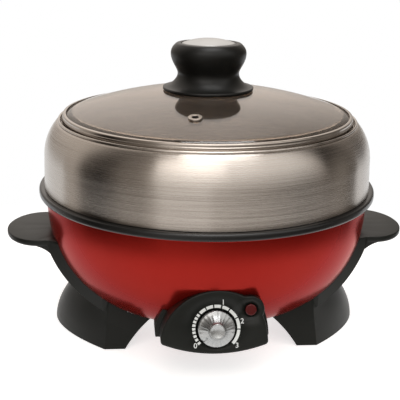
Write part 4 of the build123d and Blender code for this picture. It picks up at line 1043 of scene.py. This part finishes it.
@dataclass
class Studio:
    """Pale floor, a grey room with soft strips of light round the cooker, lamps and the camera."""

    floor_radius: float = 0.42
    floor_fade: Pair = (0.24, 0.4)
    floor_glow: Pair = (0.68, 0.15)
    room_radius: float = 2.2
    room_low: float = -70.0
    room_gap: float = 62.0
    low_strips: tuple[tuple[float, str], ...] = (
        (-170.0, "D2CAC2"), (-146.0, "A8A098"), (-124.0, "B8B0A8"), (-106.0, "CCC4BC"), (-92.0, "3A3531"),
        (-79.0, "1C1917"), (-71.0, "5A544F"), (-58.0, "8F877F"), (-47.0, "978F87"), (-41.0, "B5ADA5"),
        (-33.0, "EDE7E1"), (-6.0, "E1DBD5"), (3.0, "B8B0A8"), (30.0, "978F87"), (45.0, "7F7871"),
        (62.0, "66605A"), (78.0, "7B746E"), (96.0, "9A938B"), (112.0, "77716B"), (127.0, "45403C"),
        (140.0, "7B746E"), (151.0, "9A938B"), (170.0, "D2CAC2"),
    )
    high_strips: tuple[tuple[float, str], ...] = (
        (-170.0, "FFF6EE"), (-146.0, "D9D0C8"), (-124.0, "C3BBB3"), (-104.0, "BBB3AB"), (-92.0, "47423E"),
        (-75.0, "37332F"), (-66.0, "6B655F"), (-52.0, "7B746E"), (-46.0, "A0988F"), (-38.0, "F5F0EB"),
        (24.0, "FFFBF7"), (68.0, "FFFCF8"), (79.0, "EDE7E1"), (85.0, "171513"), (108.0, "1C1917"),
        (113.0, "6E6862"), (136.0, "8B847D"), (170.0, "FFF6EE"),
    )
    blend_heights: Pair = (4.0, 30.0)
    gain_heights: Pair = (-12.0, 48.0)
    gains: Pair = (0.78, 1.6)
    lamps: tuple[tuple[str, Triple, Pair, float, str], ...] = (
        ("key_box", (-0.33, -1.1, 1.15), (1.2, 0.55), 3.3, "FFFAF6"),
        ("top_box", (0.1, -0.2, 1.5), (0.9, 0.6), 8.0, "FFFFFF"),
    )
    lamp_aim: Triple = (0.0, 0.0, 0.1)
    facets: int = 96
    paper: str = "E2E2E2"
    backdrop: str = "FFFFFF"
    surroundings: str = "BBBBBB"
    camera_from: Triple = (-0.0650, -0.7623, 0.3396)
    camera_to: Triple = (-0.00544, 0.00042, 0.10546)
    lens: float = 81.96
    roll: float = 0.835

    def build_floor(self) -> None:
        """Lay a round sheet of white paper that takes the shadow and fades out at its edge."""
        work = bmesh.new()
        bmesh.ops.create_circle(work, cap_ends=True, radius=self.floor_radius, segments=self.facets)
        tree = self.add_stage(work, "floor", "white_paper")
        space = add_node(tree, "TexCoord").outputs["Object"]
        far = add_node(tree, "VectorMath", {"operation": "LENGTH"}, links={0: space})
        fade = add_node(
            tree, "MapRange", {"interpolation_type": "SMOOTHSTEP"},
            values={"From Min": self.floor_fade[0], "From Max": self.floor_fade[1]},
            links={"Value": far.outputs["Value"]},
        )
        paper = add_node(tree, "BsdfDiffuse", values={"Color": linear(self.paper)})
        path = add_node(tree, "LightPath")
        scattered = add_node(tree, "MapRange",
                             values={"To Min": self.floor_glow[0], "To Max": self.floor_glow[1]},
                             links={"Value": path.outputs["Is Diffuse Ray"]})
        lit = add_node(tree, "Emission", links={"Strength": scattered.outputs["Result"]})
        both = add_node(tree, "AddShader",
                        links={0: paper.outputs["BSDF"], 1: lit.outputs["Emission"]})
        clear = add_node(tree, "BsdfTransparent")
        sheet = add_node(tree, "MixShader", links={
            0: fade.outputs["Result"], 1: both.outputs["Shader"], 2: clear.outputs["BSDF"]})
        add_node(tree, "OutputMaterial", links={"Surface": sheet.outputs["Shader"]})

    def add_stage(self, work: bmesh.types.BMesh, name: str, surface: str, seen: bool = True) -> Tree:
        """Turn a bmesh into a staged object with a new material.

        Args:
            work: the shape in metres; it is freed.
            name: the object's name.
            surface: name of its material.
            seen: whether the camera sees it.

        Returns:
            The material's empty node tree.
        """
        mesh = bpy.data.meshes.new(name)
        work.to_mesh(mesh)
        work.free()
        material = bpy.data.materials.new(surface)
        mesh.materials.append(material)
        made = bpy.data.objects.new(name, mesh)
        made.visible_camera = seen
        bpy.context.scene.collection.objects.link(made)
        return blank_tree(material)

    def strip_colours(self, tree: Tree, share: Socket, strips: tuple[tuple[float, str], ...]) -> Socket:
        """Colour of upright strips round the room.

        Args:
            tree: the room's node tree.
            share: share of the way round, from behind the cooker.
            strips: angle from the front and colour of each strip.

        Returns:
            The colour's socket.
        """
        walls = add_node(tree, "ValToRGB", links={"Fac": share})
        ramp = walls.color_ramp
        ramp.interpolation = "EASE"
        for angle, colour in strips:
            ramp.elements.new((angle + 180.0) / 360.0).color = linear(colour)
        for edge in (ramp.elements[0], ramp.elements[-1]):
            edge.color = linear(strips[0][1])
        return walls.outputs["Color"]

    def by_height(self, tree: Tree, rise: Socket, heights: Pair, values: Pair) -> Socket:
        """Value that changes between two heights of the room, given in degrees above the horizon.

        Args:
            tree: the room's node tree.
            rise: height on the room's wall, in metres.
            heights: the two heights, in degrees.
            values: the value at each.

        Returns:
            The value's socket.
        """
        low, high = (self.room_radius * math.sin(math.radians(height)) for height in heights)
        ranged = add_node(
            tree, "MapRange",
            values={"From Min": low, "From Max": high, "To Min": values[0], "To Max": values[1]},
            links={"Value": rise},
        )
        return ranged.outputs["Result"]

    def build_room(self) -> None:
        """Stand a round grey room about the cooker, open behind it below eye level.

        Its walls glow faintly, in soft upright strips that are brighter higher up, and the camera
        looks through them.
        """
        work = bmesh.new()
        bmesh.ops.create_uvsphere(work, u_segments=self.facets, v_segments=self.facets // 2,
                                  radius=self.room_radius)
        doomed = []
        for face in work.faces:
            middle = face.calc_center_median()
            height = math.degrees(math.asin(middle.z / middle.length))
            turn = abs(math.degrees(math.atan2(middle.x, middle.y)))
            if height < self.room_low or (height < 0 and turn < self.room_gap):
                doomed.append(face)
        bmesh.ops.delete(work, geom=doomed, context="FACES")
        tree = self.add_stage(work, "room", "room_walls", seen=False)
        space = add_node(tree, "TexCoord").outputs["Object"]
        axes = add_node(tree, "SeparateXYZ", links={"Vector": space})
        front = add_node(tree, "Math", {"operation": "MULTIPLY"}, values={1: -1.0},
                         links={0: axes.outputs["Y"]})
        turn = add_node(tree, "Math", {"operation": "ARCTAN2"},
                        links={0: axes.outputs["X"], 1: front.outputs["Value"]})
        share = add_node(tree, "MapRange", values={"From Min": -math.pi, "From Max": math.pi},
                         links={"Value": turn.outputs["Value"]})
        low = self.strip_colours(tree, share.outputs["Result"], self.low_strips)
        high = self.strip_colours(tree, share.outputs["Result"], self.high_strips)
        rise = self.by_height(tree, axes.outputs["Z"], self.blend_heights, (0.0, 1.0))
        walls = add_node(tree, "Mix", {"data_type": "RGBA"},
                         links={0: rise, 6: low, 7: high})
        gain = self.by_height(tree, axes.outputs["Z"], self.gain_heights, self.gains)
        glow = add_node(tree, "Emission", links={"Color": walls.outputs[2], "Strength": gain})
        add_node(tree, "OutputMaterial", links={"Surface": glow.outputs["Emission"]})

    def build_world(self) -> None:
        """Give the cooker a white backdrop that camera, metal and glass see, and a grey light."""
        world = bpy.data.worlds.new("studio")
        tree = blank_tree(world)
        grey, white = (add_node(tree, "Background", values={"Color": linear(colour)})
                       for colour in (self.surroundings, self.backdrop))
        path = add_node(tree, "LightPath")
        first = add_node(tree, "Math", {"operation": "MAXIMUM"},
                         links={0: path.outputs["Is Camera Ray"], 1: path.outputs["Is Glossy Ray"]})
        either = add_node(tree, "Math", {"operation": "MAXIMUM"},
                          links={0: first.outputs["Value"], 1: path.outputs["Is Transmission Ray"]})
        shown = add_node(tree, "MixShader", links={
            0: either.outputs["Value"], 1: grey.outputs["Background"], 2: white.outputs["Background"]})
        add_node(tree, "OutputWorld", links={"Surface": shown.outputs["Shader"]})
        bpy.context.scene.world = world

    def add_lamp(self, name: str, place: Triple, size: Pair, power: float, colour: str) -> None:
        """Hang a round soft box that faces the cooker.

        Args:
            name: the lamp's name.
            place: where it hangs, in metres.
            size: its width and height in metres.
            power: its power in watts.
            colour: its light's sRGB hex colour.
        """
        lamp = bpy.data.lights.new(name, "AREA")
        lamp.shape = "ELLIPSE"
        lamp.size, lamp.size_y = size
        lamp.energy = power
        lamp.color = linear(colour)[:3]
        hung = bpy.data.objects.new(name, lamp)
        hung.location = place
        hung.rotation_euler = (Vector(self.lamp_aim) - Vector(place)).to_track_quat("-Z", "Y").to_euler()
        bpy.context.scene.collection.objects.link(hung)

    def build_camera(self) -> None:
        """Stand the camera where the photographer's was."""
        view = bpy.data.cameras.new("photographer")
        view.sensor_width = 36.0
        view.lens = self.lens
        camera = bpy.data.objects.new("photographer", view)
        ahead = (Vector(self.camera_to) - Vector(self.camera_from)).normalized()
        level = ahead.cross(Vector((0, 0, 1))).normalized()
        up = level.cross(ahead)
        roll = math.radians(self.roll)
        tilted_up = math.cos(roll) * up - math.sin(roll) * level
        tilted_right = math.cos(roll) * level + math.sin(roll) * up
        turn = Matrix((tilted_right, tilted_up, -ahead)).transposed()
        camera.matrix_world = Matrix.Translation(Vector(self.camera_from)) @ turn.to_4x4()
        bpy.context.scene.collection.objects.link(camera)
        bpy.context.scene.camera = camera

    def build(self) -> None:
        """Set up floor, room, light and camera."""
        self.build_floor()
        self.build_room()
        self.build_world()
        for lamp in self.lamps:
            self.add_lamp(*lamp)
        self.build_camera()
        bpy.context.scene.view_settings.view_transform = "Standard"


def main() -> None:
    """Build the looks of every sub-assembly, then the studio."""
    logging.basicConfig(level=logging.INFO)
    parts = (Bowl, SideMouldings, ControlPanel, Dial, Heater, CookingPan, SteamRing, GlassLid, Knob, Studio)
    for part in parts:
        part().build()


if __name__ == "__main__":
    main()
